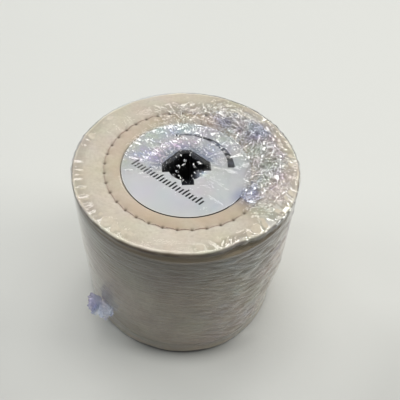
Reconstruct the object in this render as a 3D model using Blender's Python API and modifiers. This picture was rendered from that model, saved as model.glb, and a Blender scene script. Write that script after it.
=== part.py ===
"""Felt drum polishing wheel with a keyed spindle bore, wrapped in clear film.

The wheel stands on its lower end. Its axis is Z and the origin is its centre.
Run with: blender --background --python part.py
"""
import math

import bmesh
import bpy
from mathutils import Matrix, Vector

MM = 0.001

# Driving dimensions of the wrapped wheel.
WHEEL_DIAMETER = 120.0 * MM
WHEEL_WIDTH = 98.0 * MM
CLEARANCE = 0.3 * MM

# Film: drawn thicker than the real film so that it is a solid.
FILM_THICKNESS = 0.3 * MM
FILM_OPEN_RADIUS = 17.6 * MM
FILM_TURN_DOWN = 5.4 * MM

# Core: a plastic tube with four key slots.
BORE_RADIUS = 9.7 * MM
KEY_WIDTH = 6.2 * MM
KEY_REACH = 12.8 * MM
KEY_TURN = math.radians(5.0)
CORE_RADIUS = 17.0 * MM

# End flanges and labels.
FLANGE_RADIUS = 33.6 * MM
FLANGE_THICKNESS = 1.6 * MM
LABEL_RADIUS = 34.2 * MM
LABEL_THICKNESS = 0.3 * MM
LABEL_DROP = 3.4 * MM
LABEL_PRESS = 0.1 * MM

# Felt: three sewn packs of five layers, the end layers dished in the middle.
PACKS = 3
LAYERS_PER_PACK = 5
END_LAYER = 8.0 * MM
OVERHANG = 0.4 * MM
RIM_HEIGHT = 3.2 * MM
RIM_ROUND = 1.2 * MM
DISH_RADIUS = 34.6 * MM
CROWN_RADIUS = 50.0 * MM

# Sewing: a ring of thread in a groove on each side of each pack.
STITCH_RADIUS = 42.8 * MM
STITCH_DROP = 1.5 * MM
GROOVE_WIDTH = 1.6 * MM
GROOVE_DEPTH = 0.8 * MM
THREAD_WIDTH = 0.9 * MM
THREAD_HEIGHT = 0.7 * MM

# Gathered film: the bunch on the upper face and the loose tail on the side.
BUNCH_RADIUS = 42.0 * MM
BUNCH_WIDTH = 17.0 * MM
BUNCH_HEIGHT = 3.2 * MM
BUNCH_FROM = math.radians(-44.0)
BUNCH_TO = math.radians(64.0)
TAIL_ANGLE = math.radians(219.0)
TAIL_HEIGHT_ABOVE_BASE = 19.5 * MM
TAIL_LENGTH = 12.0 * MM
TAIL_ROOT = (9.0 * MM, 11.0 * MM)
TAIL_END = (18.0 * MM, 17.0 * MM)

# Facets round a full turn.
OUTER_SEGMENTS = 40
INNER_SEGMENTS = 32

# Heights and radii that follow from the values above.
WHEEL_RADIUS = WHEEL_DIAMETER / 2
RIM_RADIUS = WHEEL_RADIUS - FILM_THICKNESS - CLEARANCE
FELT_RADIUS = RIM_RADIUS - OVERHANG
FELT_TOP = WHEEL_WIDTH / 2 - FILM_THICKNESS - CLEARANCE
LABEL_TOP = WHEEL_WIDTH / 2 - LABEL_DROP
FLANGE_TOP = LABEL_TOP - LABEL_THICKNESS - CLEARANCE
FLANGE_SEAT = FLANGE_TOP - FLANGE_THICKNESS - CLEARANCE
CORE_TOP = FLANGE_TOP - LABEL_PRESS
STITCH_TOP = FELT_TOP - STITCH_DROP
HOLE_RADIUS = CORE_RADIUS + CLEARANCE
END_LAYER_BOTTOM = FELT_TOP - END_LAYER
THREAD_SINK = GROOVE_DEPTH - CLEARANCE


def clear_scene():
    for item in list(bpy.data.objects):
        bpy.data.objects.remove(item, do_unlink=True)


def make_collection(name):
    collection = bpy.data.collections.new(name)
    bpy.context.scene.collection.children.link(collection)
    return collection


def make_material(name, colour, roughness, alpha=1.0):
    material = bpy.data.materials.new(name)
    material.use_nodes = True
    shader = material.node_tree.nodes["Principled BSDF"]
    shader.inputs["Base Color"].default_value = (*colour, 1.0)
    shader.inputs["Roughness"].default_value = roughness
    shader.inputs["Metallic"].default_value = 0.0
    shader.inputs["Alpha"].default_value = alpha
    material.diffuse_color = (*colour, alpha)
    return material


def add_object(name, mesh, material, collection):
    item = bpy.data.objects.new(name, mesh)
    item.data.materials.append(material)
    collection.objects.link(item)
    return item


def shade_round(mesh):
    mesh.shade_smooth()
    mesh.set_sharp_from_angle(angle=math.radians(35.0))


def flipped(profile):
    """The same profile on the wheel's other end, still running downwards on its outer side."""
    return [(radius, -height) for radius, height in reversed(profile)]


def on_side(profile, side):
    return profile if side > 0 else flipped(profile)


def turned(name, profile, closed, segments, material, collection):
    """A profile of (radius, height) points, running down its outer side, turned about Z."""
    edges = [(i, i + 1) for i in range(len(profile) - 1)]
    if closed:
        edges.append((len(profile) - 1, 0))
    mesh = bpy.data.meshes.new(name)
    mesh.from_pydata([(radius, 0.0, height) for radius, height in profile], edges, [])
    item = add_object(name, mesh, material, collection)
    screw = item.modifiers.new("Turn", "SCREW")
    screw.axis = "Z"
    screw.angle = 2 * math.pi
    screw.steps = segments
    screw.render_steps = segments
    screw.use_merge_vertices = True
    screw.merge_threshold = 0.00001
    screw.use_smooth_shade = False
    return item


def thicken(item, thickness):
    shell = item.modifiers.new("Thickness", "SOLIDIFY")
    shell.thickness = thickness
    shell.offset = 1.0
    shell.use_even_offset = True
    shell.use_rim = True


def cut(item, cutters):
    for cutter in cutters:
        boolean = item.modifiers.new("Cut " + cutter.name, "BOOLEAN")
        boolean.operation = "DIFFERENCE"
        boolean.solver = "EXACT"
        boolean.object = cutter


def make_key_cutters(collection, material):
    """Two crossed bars that cut the four key slots through the core and the labels."""
    cutters = []
    for number in range(2):
        mesh = bpy.data.meshes.new(f"key_cutter_{number + 1}")
        shape = bmesh.new()
        bmesh.ops.create_cube(shape, size=1.0)
        turn = Matrix.Rotation(KEY_TURN + number * math.pi / 2, 4, "Z")
        size = Matrix.Diagonal((2 * KEY_REACH, KEY_WIDTH, 1.2 * WHEEL_WIDTH, 1.0))
        shape.transform(turn @ size)
        shape.to_mesh(mesh)
        shape.free()
        cutter = add_object(mesh.name, mesh, material, collection)
        cutter.hide_render = True
        cutter.display_type = "WIRE"
        cutters.append(cutter)
    return cutters


def make_core(parts, material, key_cutters):
    profile = [
        (BORE_RADIUS, CORE_TOP),
        (CORE_RADIUS, CORE_TOP),
        (CORE_RADIUS, -CORE_TOP),
        (BORE_RADIUS, -CORE_TOP),
    ]
    core = turned("spline_core", profile, True, INNER_SEGMENTS, material, parts)
    cut(core, key_cutters)


def make_flange(name, side, parts, material):
    profile = [
        (HOLE_RADIUS, FLANGE_TOP),
        (FLANGE_RADIUS, FLANGE_TOP),
        (FLANGE_RADIUS, FLANGE_TOP - FLANGE_THICKNESS),
        (HOLE_RADIUS, FLANGE_TOP - FLANGE_THICKNESS),
    ]
    turned(name, on_side(profile, side), True, INNER_SEGMENTS, material, parts)


def make_label(name, side, parts, material, key_cutters):
    """A paper ring, pressed down a little where it covers the core's end."""
    upper = [
        (BORE_RADIUS, LABEL_TOP - LABEL_PRESS),
        (CORE_RADIUS, LABEL_TOP - LABEL_PRESS),
        (HOLE_RADIUS, LABEL_TOP),
        (LABEL_RADIUS, LABEL_TOP),
    ]
    lower = [(radius, height - LABEL_THICKNESS) for radius, height in reversed(upper)]
    profile = upper + lower
    label = turned(name, on_side(profile, side), True, INNER_SEGMENTS, material, parts)
    cut(label, key_cutters)


def groove(height, downwards):
    """Four points across a stitch groove: in an upper face going outwards, or a lower one going in."""
    half = GROOVE_WIDTH / 2
    floor = height - GROOVE_DEPTH if downwards else height + GROOVE_DEPTH
    points = [
        (STITCH_RADIUS - half, height),
        (STITCH_RADIUS - half, floor),
        (STITCH_RADIUS + half, floor),
        (STITCH_RADIUS + half, height),
    ]
    return points if downwards else points[::-1]


def make_end_layer(name, side, parts, material):
    """The outermost felt layer: squeezed under the flange, puffed up and rounded at the rim."""
    profile = [
        (HOLE_RADIUS, FLANGE_SEAT),
        (DISH_RADIUS, FLANGE_SEAT),
        (DISH_RADIUS + CLEARANCE * 3, LABEL_TOP),
        *groove(STITCH_TOP, True),
        (CROWN_RADIUS, FELT_TOP),
        (RIM_RADIUS - RIM_ROUND, FELT_TOP),
        (RIM_RADIUS - RIM_ROUND / 3, FELT_TOP - RIM_ROUND / 3),
        (RIM_RADIUS, FELT_TOP - RIM_ROUND),
        (RIM_RADIUS, FELT_TOP - RIM_HEIGHT + OVERHANG),
        (FELT_RADIUS, FELT_TOP - RIM_HEIGHT),
        (FELT_RADIUS, END_LAYER_BOTTOM),
        (HOLE_RADIUS, END_LAYER_BOTTOM),
    ]
    turned(name, on_side(profile, side), True, OUTER_SEGMENTS, material, parts)


def make_felt_layer(name, top, bottom, grooves, parts, material):
    profile = [(HOLE_RADIUS, top)]
    if "top" in grooves:
        profile += groove(top, True)
    profile += [(FELT_RADIUS, top), (FELT_RADIUS, bottom)]
    if "bottom" in grooves:
        profile += groove(bottom, False)
    profile.append((HOLE_RADIUS, bottom))
    turned(name, profile, True, INNER_SEGMENTS, material, parts)


def make_thread(name, bottom, parts, material):
    half = THREAD_WIDTH / 2
    profile = [
        (STITCH_RADIUS - half, bottom + THREAD_HEIGHT),
        (STITCH_RADIUS + half, bottom + THREAD_HEIGHT),
        (STITCH_RADIUS + half, bottom),
        (STITCH_RADIUS - half, bottom),
    ]
    turned(name, profile, True, INNER_SEGMENTS, material, parts)


def make_felt(parts, felt, thread):
    """The stack from top to bottom, numbered from the top, with its rings of thread."""
    count = PACKS * LAYERS_PER_PACK
    inner_stack = 2 * END_LAYER_BOTTOM - CLEARANCE
    thickness = inner_stack / (count - 2) - CLEARANCE
    top = END_LAYER_BOTTOM - CLEARANCE
    make_end_layer("felt_layer_01", 1, parts, felt)
    make_thread("stitch_thread_1_upper", STITCH_TOP - THREAD_SINK, parts, thread)
    for number in range(2, count):
        bottom = top - thickness
        pack = (number - 1) // LAYERS_PER_PACK + 1
        place = (number - 1) % LAYERS_PER_PACK
        grooves = []
        if place == 0:
            grooves.append("top")
            make_thread(f"stitch_thread_{pack}_upper", top - THREAD_SINK - CLEARANCE / 3, parts, thread)
        if place == LAYERS_PER_PACK - 1:
            grooves.append("bottom")
            lower = bottom + THREAD_SINK - THREAD_HEIGHT + CLEARANCE / 3
            make_thread(f"stitch_thread_{pack}_lower", lower, parts, thread)
        make_felt_layer(f"felt_layer_{number:02d}", top, bottom, grooves, parts, felt)
        top = bottom - CLEARANCE
    make_end_layer(f"felt_layer_{count:02d}", -1, parts, felt)
    lowest = -STITCH_TOP + THREAD_SINK - THREAD_HEIGHT
    make_thread(f"stitch_thread_{PACKS}_lower", lowest, parts, thread)


def film_end_profile():
    """The inner side of the film on the upper end, from its opening over the rim and down."""
    rim = RIM_RADIUS + CLEARANCE
    side = FELT_RADIUS + CLEARANCE
    top = FELT_TOP + CLEARANCE
    ring = STITCH_TOP - THREAD_SINK + THREAD_HEIGHT + CLEARANCE
    return [
        (FILM_OPEN_RADIUS, LABEL_TOP + CLEARANCE),
        (LABEL_RADIUS, LABEL_TOP + CLEARANCE),
        (STITCH_RADIUS - GROOVE_WIDTH / 2, ring),
        (STITCH_RADIUS + GROOVE_WIDTH / 2, ring),
        (CROWN_RADIUS, top),
        (rim - RIM_ROUND, top),
        (rim - RIM_ROUND / 3, top - RIM_ROUND / 3),
        (rim, top - RIM_ROUND),
        (rim, top - RIM_HEIGHT + OVERHANG),
        (side, top - RIM_HEIGHT - CLEARANCE),
        (side, FELT_TOP - FILM_TURN_DOWN),
    ]


def film_top_height(radius):
    """Height of the upper film's outer side at a radius inside the rim."""
    points = film_end_profile()
    for (r_in, z_in), (r_out, z_out) in zip(points, points[1:]):
        if r_in <= radius <= r_out:
            share = (radius - r_in) / (r_out - r_in)
            return z_in + share * (z_out - z_in) + FILM_THICKNESS
    return WHEEL_WIDTH / 2


def make_film_end(name, side, parts, material):
    profile = on_side(film_end_profile(), side)
    sheet = turned(name, profile, False, OUTER_SEGMENTS, material, parts)
    thicken(sheet, FILM_THICKNESS)


def make_film_sleeve(parts, material):
    reach = FELT_TOP - FILM_TURN_DOWN - CLEARANCE
    radius = FELT_RADIUS + CLEARANCE
    profile = [(radius, reach), (radius, -reach)]
    sleeve = turned("film_sleeve", profile, False, OUTER_SEGMENTS, material, parts)
    thicken(sleeve, FILM_THICKNESS)


def soft_block(name, stations, place, parts, material):
    """A cube cut into stations along X, each corner put in place, then smoothed."""
    mesh = bpy.data.meshes.new(name)
    shape = bmesh.new()
    bmesh.ops.create_cube(shape, size=1.0)
    along = [e for e in shape.edges if abs(e.verts[0].co.x - e.verts[1].co.x) > 0.5]
    bmesh.ops.subdivide_edges(shape, edges=along, cuts=stations - 1, use_grid_fill=True)
    for vert in shape.verts:
        vert.co = place(vert.co.x + 0.5, vert.co.y, vert.co.z)
    if shape.calc_volume(signed=True) < 0.0:
        bmesh.ops.reverse_faces(shape, faces=shape.faces)
    shape.to_mesh(mesh)
    shape.free()
    block = add_object(name, mesh, material, parts)
    smooth = block.modifiers.new("Soften", "SUBSURF")
    smooth.levels = 1
    smooth.render_levels = 1


def make_film_bunch(parts, material):
    """Gathered film lying in the dish, thin at both ends and following the sheet below."""
    lift = 3 * CLEARANCE

    def place(along, across, up):
        swell = 0.35 + 0.65 * math.sin(math.pi * (0.08 + 0.84 * along))
        angle = BUNCH_TO + (BUNCH_FROM - BUNCH_TO) * along
        radius = BUNCH_RADIUS + across * BUNCH_WIDTH * swell
        height = film_top_height(radius) + lift + (up + 0.5) * BUNCH_HEIGHT * swell
        return Vector((radius * math.cos(angle), radius * math.sin(angle), height))

    soft_block("film_bunch", 9, place, parts, material)


def make_film_tail(parts, material):
    """A loose end of film that sticks out of the side near the base and widens outwards."""
    root = FELT_RADIUS + FILM_THICKNESS + 3 * CLEARANCE
    middle = TAIL_HEIGHT_ABOVE_BASE - WHEEL_WIDTH / 2
    turn = Matrix.Rotation(TAIL_ANGLE, 3, "Z")

    def place(along, across, up):
        width = TAIL_ROOT[0] + (TAIL_END[0] - TAIL_ROOT[0]) * along
        height = TAIL_ROOT[1] + (TAIL_END[1] - TAIL_ROOT[1]) * along
        start = root + CLEARANCE * abs(across)
        return turn @ Vector((start + along * TAIL_LENGTH, across * width, middle + up * height))

    soft_block("film_tail", 3, place, parts, material)


def build():
    clear_scene()
    parts = make_collection("felt_polishing_wheel")
    cutters = make_collection("cutters")
    felt = make_material("cream_felt", (0.72, 0.66, 0.55), 0.95)
    thread = make_material("brown_thread", (0.25, 0.13, 0.10), 0.85)
    plastic = make_material("black_plastic", (0.02, 0.02, 0.022), 0.45)
    paper = make_material("label_paper", (0.86, 0.86, 0.89), 0.6)
    film = make_material("clear_film", (0.86, 0.88, 0.92), 0.15, 0.35)

    key_cutters = make_key_cutters(cutters, plastic)
    make_core(parts, plastic, key_cutters)
    make_felt(parts, felt, thread)
    for name, side in (("top", 1), ("bottom", -1)):
        make_flange(f"end_flange_{name}", side, parts, plastic)
        make_label(f"label_{name}", side, parts, paper, key_cutters)
    make_film_end("film_cover", 1, parts, film)
    make_film_end("film_base", -1, parts, film)
    make_film_sleeve(parts, film)
    make_film_bunch(parts, film)
    make_film_tail(parts, film)


build()
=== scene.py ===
import math

import bpy
import numpy as np
from mathutils import Matrix, Vector, noise


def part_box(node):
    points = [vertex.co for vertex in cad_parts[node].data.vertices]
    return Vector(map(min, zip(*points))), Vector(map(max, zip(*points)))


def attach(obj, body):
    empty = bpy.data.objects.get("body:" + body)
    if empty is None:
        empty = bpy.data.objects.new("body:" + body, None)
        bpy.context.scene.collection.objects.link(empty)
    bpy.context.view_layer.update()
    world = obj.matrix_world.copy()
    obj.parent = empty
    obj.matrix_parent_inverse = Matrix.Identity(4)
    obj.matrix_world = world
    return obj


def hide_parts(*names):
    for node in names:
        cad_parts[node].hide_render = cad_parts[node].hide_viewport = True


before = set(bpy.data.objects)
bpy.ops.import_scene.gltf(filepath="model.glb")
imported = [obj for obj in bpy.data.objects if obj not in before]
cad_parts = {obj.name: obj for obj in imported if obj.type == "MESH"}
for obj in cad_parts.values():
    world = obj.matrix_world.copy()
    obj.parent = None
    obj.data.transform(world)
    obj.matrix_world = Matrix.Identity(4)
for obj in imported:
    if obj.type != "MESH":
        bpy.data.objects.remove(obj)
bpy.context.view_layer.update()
mm = 0.001


def say(stage):
    print("wheel:", stage)


def smooth(low, high, value):
    # 0 below low, 1 above high, eased between; works on numbers and arrays
    share = np.clip((value - low) / (high - low), 0.0, 1.0)
    return share * share * (3.0 - 2.0 * share)


def bump(value, centre, width):
    return np.exp(-((value - centre) / width) ** 2)


def turnGap(angle, centre):
    # signed gap between two angles, in radians, from -pi to pi
    return (angle - centre + math.pi) % (2 * math.pi) - math.pi


def fractal(points, scale, octaves=3, seed=0.0):
    shift = Vector((seed, seed * 1.7, -seed))
    return np.array([
        noise.fractal(Vector(p) * scale + shift, 1.0, 2.0, octaves) for p in points
    ])


crumple = {"wander": 0.45, "bends": (1.3, 1.1), "periods": (0.6, 1.7), "length": 2.3, "folds": 9}


def creased(x, y, size, seed):
    # height of a crumpled sheet: planes folded to and fro along wandering creases, with slopes of about one
    maker = np.random.default_rng(seed)
    wander = size * crumple["wander"]
    bendX, bendY = crumple["bends"]
    x, y = (x + wander * np.sin(y / size * bendX + seed), y + wander * np.sin(x / size * bendY - seed))
    total = np.zeros(np.shape(x))
    for _ in range(crumple["folds"]):
        heading, period = maker.uniform(0.0, math.pi), size * maker.uniform(*crumple["periods"])
        along = (x * math.cos(heading) + y * math.sin(heading)) / period + maker.uniform()
        across = (y * math.cos(heading) - x * math.sin(heading)) / (period * crumple["length"])
        across = across + maker.uniform()
        fold = (np.abs(along % 1.0 - 0.5) - 0.25) * period
        total = total + fold * (0.6 + 0.6 * np.sin(2 * math.pi * across))
    return total * 2.0 / math.sqrt(crumple["folds"])


def quadFaces(index):
    # four corners of each square between the rows and columns of a grid of point numbers
    quads = np.stack([index[:-1, :-1], index[1:, :-1], index[1:, 1:], index[:-1, 1:]], axis=-1)
    return quads.reshape(-1, 4).tolist()


def gridMesh(name, grid, profileClosed=False, capStart=False):
    # grid[profile point, step] of places; normals face out where the profile runs outwards and down
    rows, steps = grid.shape[:2]
    index = np.arange(rows * steps).reshape(rows, steps)
    if profileClosed:
        index = np.vstack([index, index[:1]])
    index = np.hstack([index, index[:, :1]])
    faces = quadFaces(index)
    points = grid.reshape(-1, 3).tolist()
    if capStart:
        points.append(grid[0].mean(axis=0).tolist())
        last = len(points) - 1
        faces += [(last, int(index[0, i]), int(index[0, i + 1])) for i in range(index.shape[1] - 1)]
    mesh = bpy.data.meshes.new(name)
    mesh.from_pydata(points, [], faces)
    mesh.shade_smooth()
    return mesh


def addPiece(name, mesh, material):
    piece = bpy.data.objects.new(name, mesh)
    bpy.context.scene.collection.objects.link(piece)
    mesh.materials.clear()
    mesh.materials.append(material)
    return piece


def finishPiece(piece, cadNode):
    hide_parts(cadNode)
    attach(piece, "root")
    return piece


def setAttribute(mesh, name, values):
    attribute = mesh.attributes.new(name, "FLOAT", "POINT")
    values = np.asarray(values, dtype=np.float32).ravel()
    if len(values) < len(mesh.vertices):
        values = np.append(values, np.full(len(mesh.vertices) - len(values), values[-1], np.float32))
    attribute.data.foreach_set("value", values)


def getPlaces(mesh):
    places = np.zeros(len(mesh.vertices) * 3, np.float32)
    mesh.vertices.foreach_get("co", places)
    return places.reshape(-1, 3).astype(float)


def setPlaces(mesh, places):
    mesh.vertices.foreach_set("co", np.asarray(places, np.float32).ravel())
    mesh.update()


def mirrored(mesh):
    # turns a piece of the upper end over to the lower end
    places = getPlaces(mesh)
    places[:, 2] *= -1.0
    setPlaces(mesh, places)
    mesh.flip_normals()


def polar(places):
    return np.hypot(places[:, 0], places[:, 1]), np.arctan2(places[:, 1], places[:, 0])


def applied(piece):
    # the evaluated mesh takes the place of the piece's own mesh, with no modifiers left
    graph = bpy.context.evaluated_depsgraph_get()
    graph.update()
    mesh = bpy.data.meshes.new_from_object(piece.evaluated_get(graph), depsgraph=graph)
    piece.modifiers.clear()
    piece.data = mesh
    return mesh


def resample(corners, spacing):
    # points along a polyline of (radius, height), a spacing apart
    corners = np.array(corners, float)
    lengths = np.linalg.norm(np.diff(corners, axis=0), axis=1)
    along = np.concatenate([[0.0], np.cumsum(lengths)])
    count = max(2, int(round(along[-1] / spacing)) + 1)
    where = np.linspace(0.0, along[-1], count)
    return np.column_stack([np.interp(where, along, corners[:, i]) for i in (0, 1)])


def rounded(profile, passes):
    # softens a sampled profile while its ends stay put
    profile = profile.copy()
    for _ in range(passes):
        profile[1:-1] = 0.25 * profile[:-2] + 0.5 * profile[1:-1] + 0.25 * profile[2:]
    return profile


def turn(profile, steps):
    # (radius, height) points turned about Z, with the angle of each step
    angles = np.linspace(0.0, 2 * math.pi, steps, endpoint=False)
    grid = np.zeros((len(profile), steps, 3))
    grid[..., 0] = profile[:, :1] * np.cos(angles)
    grid[..., 1] = profile[:, :1] * np.sin(angles)
    grid[..., 2] = profile[:, 1:]
    return grid, angles


def normalsOf(grid):
    # outward unit normals of a turned grid, from its neighbours
    alongProfile = np.gradient(grid, axis=0)
    aroundAxis = np.roll(grid, -1, axis=1) - np.roll(grid, 1, axis=1)
    normals = np.cross(alongProfile, aroundAxis)
    return normals / np.maximum(np.linalg.norm(normals, axis=-1, keepdims=True), 1e-12)


def node(tree, kind, inputs=None, **settings):
    made = tree.nodes.new(kind)
    for key, value in settings.items():
        setattr(made, key, value)
    for key, value in (inputs or {}).items():
        if isinstance(value, bpy.types.NodeSocket):
            tree.links.new(value, made.inputs[key])
        else:
            made.inputs[key].default_value = value
    return made


def math2(tree, operation, a, b=None, clamp=False):
    inputs = {0: a} if b is None else {0: a, 1: b}
    return node(tree, "ShaderNodeMath", inputs, operation=operation, use_clamp=clamp).outputs[0]


def times(tree, a, b, clamp=False):
    return math2(tree, "MULTIPLY", a, b, clamp)


def mixColour(tree, share, a, b, blend="MIX"):
    made = node(tree, "ShaderNodeMix", {0: share, 6: a, 7: b}, data_type="RGBA", blend_type=blend)
    return made.outputs[2]


def ramp(tree, value, low, high):
    made = node(tree, "ShaderNodeMapRange", {"Value": value, "From Min": low, "From Max": high})
    return made.outputs["Result"]


def noiseTexture(tree, place, scale, detail=3.0, roughness=0.55, distortion=0.0):
    inputs = {
        "Vector": place, "Scale": scale, "Detail": detail,
        "Roughness": roughness, "Distortion": distortion,
    }
    return node(tree, "ShaderNodeTexNoise", inputs).outputs[0]


def stretched(tree, place, scale):
    return node(tree, "ShaderNodeMapping", {"Vector": place, "Scale": scale}).outputs[0]


def objectPlace(tree):
    return node(tree, "ShaderNodeTexCoord").outputs["Object"]


def attributeValue(tree, name):
    return node(tree, "ShaderNodeAttribute", attribute_name=name).outputs["Fac"]


def newMaterial(name):
    material = bpy.data.materials.new(name)
    material.use_nodes = True
    tree = material.node_tree
    tree.nodes.clear()
    return material, tree


def reliefNormal(tree, strength, distance, height):
    inputs = {"Strength": strength, "Distance": distance, "Height": height}
    return node(tree, "ShaderNodeBump", inputs).outputs[0]


def finishMaterial(tree, shader):
    output = node(tree, "ShaderNodeOutputMaterial")
    tree.links.new(shader, output.inputs["Surface"])


def finishSolid(tree, inputs):
    finishMaterial(tree, node(tree, "ShaderNodeBsdfPrincipled", inputs).outputs[0])


def makeFelt(name, look):
    material, tree = newMaterial(name)
    place = objectPlace(tree)
    clouds = noiseTexture(tree, place, look["cloudScale"], 3.0)
    mottle = noiseTexture(tree, place, look["mottleScale"], 4.0, 0.65)
    fibres = noiseTexture(tree, stretched(tree, place, look["grain"]), look["fibreScale"], 5.0, 0.7, 1.2)
    colour = mixColour(tree, ramp(tree, clouds, 0.35, 0.65), look["light"], look["warm"])
    deep = times(tree, ramp(tree, mottle, 0.42, 0.7), look["deepShare"])
    pale = times(tree, ramp(tree, fibres, 0.5, 0.8), look["paleShare"])
    colour = mixColour(tree, deep, colour, look["deep"])
    colour = mixColour(tree, pale, colour, look["pale"])
    colour = mixColour(tree, attributeValue(tree, "stain"), colour, look["stain"])
    # painted shade: the side darkens towards the top, where the overhanging rim keeps the light off
    height = node(tree, "ShaderNodeSeparateXYZ", {0: place}).outputs[2]
    shade = times(tree, ramp(tree, height, look["shadeFrom"], look["shadeTo"]), look["topShade"])
    colour = mixColour(tree, shade, colour, look["side"])
    # painted shade: the edge attribute gives the sides of the end layers the shaded side colour
    colour = mixColour(tree, attributeValue(tree, "edge"), colour, look["side"])
    # painted highlight along the upper rim, from the rim attribute
    colour = mixColour(tree, attributeValue(tree, "rim"), colour, look["rim"])
    # painted shade in the needle holes, the crease under the rim and along the foot, from the hole attribute
    colour = mixColour(tree, attributeValue(tree, "hole"), colour, look["hole"])
    nap = math2(tree, "ADD", times(tree, mottle, 0.6), times(tree, fibres, 0.4))
    finishSolid(tree, {
        "Base Color": colour, "Roughness": 0.95, "Sheen Weight": 0.35, "Sheen Roughness": 0.5,
        "Normal": reliefNormal(tree, 0.9, look["relief"], nap),
    })
    return material


def makeFilm(name, look):
    # clear where it is taut; milky and tinted where the attribute haze says it is folded
    material, tree = newMaterial(name)
    place = objectPlace(tree)
    grain = stretched(tree, place, look["grain"])
    fine = noiseTexture(tree, grain, look["fineScale"], 4.0, 0.6, 0.8)
    cells = node(tree, "ShaderNodeTexVoronoi", {"Vector": grain, "Scale": look["cellScale"]})
    cells = times(tree, cells.outputs["Distance"], look["cells"])
    height = math2(tree, "ADD", times(tree, fine, 0.6), cells)
    relief = reliefNormal(tree, 0.8, look["relief"], height)
    broad = noiseTexture(tree, place, look["tintScale"], 2.0, 0.5, 1.5)
    warmth = attributeValue(tree, "warmth")
    warmShare = math2(tree, "ADD", ramp(tree, broad, 0.38, 0.62), warmth, clamp=True)
    tint = mixColour(tree, warmShare, look["cool"], look["warm"])
    hues = node(tree, "ShaderNodeTexNoise", {"Vector": place, "Scale": look["hueScale"], "Detail": 2.0})
    haze = times(tree, attributeValue(tree, "haze"), look["hazeShare"], clamp=True)
    hued = times(tree, math2(tree, "ADD", haze, look["leastHue"]), look["hueShare"], clamp=True)
    soft = mixColour(tree, hued, look["clear"], hues.outputs["Color"], "LINEAR_LIGHT")
    tint = mixColour(tree, times(tree, hued, look["milkyHue"]), tint, hues.outputs["Color"], "LINEAR_LIGHT")
    coolShare = times(tree, warmth, -look["coolShare"], clamp=True)
    soft = mixColour(tree, coolShare, soft, look["cool"])
    clear = node(tree, "ShaderNodeBsdfTransparent", {"Color": soft})
    milky = node(tree, "ShaderNodeBsdfDiffuse", {"Color": tint, "Normal": relief})
    body = node(tree, "ShaderNodeMixShader", {0: haze, 1: clear.outputs[0], 2: milky.outputs[0]})
    white = (1.0, 1.0, 1.0, 1.0)
    gloss = node(tree, "ShaderNodeBsdfGlossy", {
        "Color": white, "Roughness": look["roughness"], "Normal": relief,
    })
    facing = node(tree, "ShaderNodeFresnel", {"IOR": look["ior"], "Normal": relief})
    shine = times(tree, facing.outputs[0], attributeValue(tree, "shine"))
    shine = math2(tree, "MINIMUM", shine, look["mostShine"])
    whole = node(tree, "ShaderNodeMixShader", {0: shine, 1: body.outputs[0], 2: gloss.outputs[0]})
    finishMaterial(tree, whole.outputs[0])
    return material


def makePlastic(name, look):
    material, tree = newMaterial(name)
    place = objectPlace(tree)
    scuffs = noiseTexture(tree, place, look["scuffScale"], 4.0, 0.6)
    colour = mixColour(tree, ramp(tree, scuffs, 0.4, 0.75), look["colour"], look["worn"])
    rough = math2(tree, "MULTIPLY_ADD", ramp(tree, scuffs, 0.2, 0.9), 0.2)
    rough.node.inputs[2].default_value = look["roughness"]
    finishSolid(tree, {
        "Base Color": colour, "Roughness": rough, "Specular IOR Level": 0.15,
        "Normal": reliefNormal(tree, 0.4, look["relief"], scuffs),
    })
    return material


def makePaper(name, look):
    material, tree = newMaterial(name)
    place = objectPlace(tree)
    fibre = noiseTexture(tree, place, look["fibreScale"], 4.0, 0.6)
    clouds = noiseTexture(tree, place, look["cloudScale"], 2.0)
    colour = mixColour(tree, ramp(tree, clouds, 0.35, 0.65), look["colour"], look["shade"])
    # painted shade near the core on the far half, from the core attribute, with the core showing dimly
    # through the paper
    colour = mixColour(tree, attributeValue(tree, "core"), colour, look["core"])
    colour = mixColour(tree, attributeValue(tree, "edge"), colour, look["edge"])
    finishSolid(tree, {
        "Base Color": colour, "Roughness": 0.55, "Coat Weight": 0.15, "Coat Roughness": 0.25,
        "Normal": reliefNormal(tree, 0.35, look["relief"], fibre),
    })
    return material


def makeThread(name, look):
    material, tree = newMaterial(name)
    place = objectPlace(tree)
    strands = noiseTexture(tree, place, look["strandScale"], 3.0, 0.6, 1.0)
    clouds = noiseTexture(tree, place, look["cloudScale"], 2.0)
    colour = mixColour(tree, ramp(tree, clouds, 0.35, 0.65), look["colour"], look["faded"])
    colour = mixColour(tree, times(tree, strands, 0.5), colour, look["dark"])
    finishSolid(tree, {
        "Base Color": colour, "Roughness": 0.85, "Sheen Weight": 0.3,
        "Normal": reliefNormal(tree, 0.8, look["relief"], strands),
    })
    return material


feltLook = {
    "light": (0.60, 0.545, 0.445, 1.0), "warm": (0.56, 0.495, 0.385, 1.0), "deep": (0.42, 0.355, 0.27, 1.0),
    # hole: colour of painted shade in holes, crease and foot; side: colour of painted shade on the sides;
    # rim: colour of a painted highlight
    "pale": (0.69, 0.64, 0.55, 1.0), "stain": (0.49, 0.39, 0.275, 1.0), "hole": (0.075, 0.045, 0.02, 1.0),
    "side": (0.27, 0.225, 0.155, 1.0), "rim": (0.98, 0.92, 0.76, 1.0), "deepShare": 0.5, "paleShare": 0.35,
    # the shade grows between these two heights
    "topShade": 0.0, "shadeFrom": 5 * mm, "shadeTo": 48 * mm, "relief": 0.26 * mm,
    "cloudScale": 45.0, "mottleScale": 620.0, "fibreScale": 1500.0, "grain": (1.0, 0.35, 1.0),
}
sideFeltLook = dict(
    feltLook, light=(0.60, 0.52, 0.39, 1.0), warm=(0.45, 0.35, 0.245, 1.0), deep=(0.34, 0.27, 0.19, 1.0),
    # painted shade: the side of the stack darkens to this colour towards the top
    topShade=1.0, side=(0.14, 0.11, 0.05, 1.0), cloudScale=70.0,
)
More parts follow.
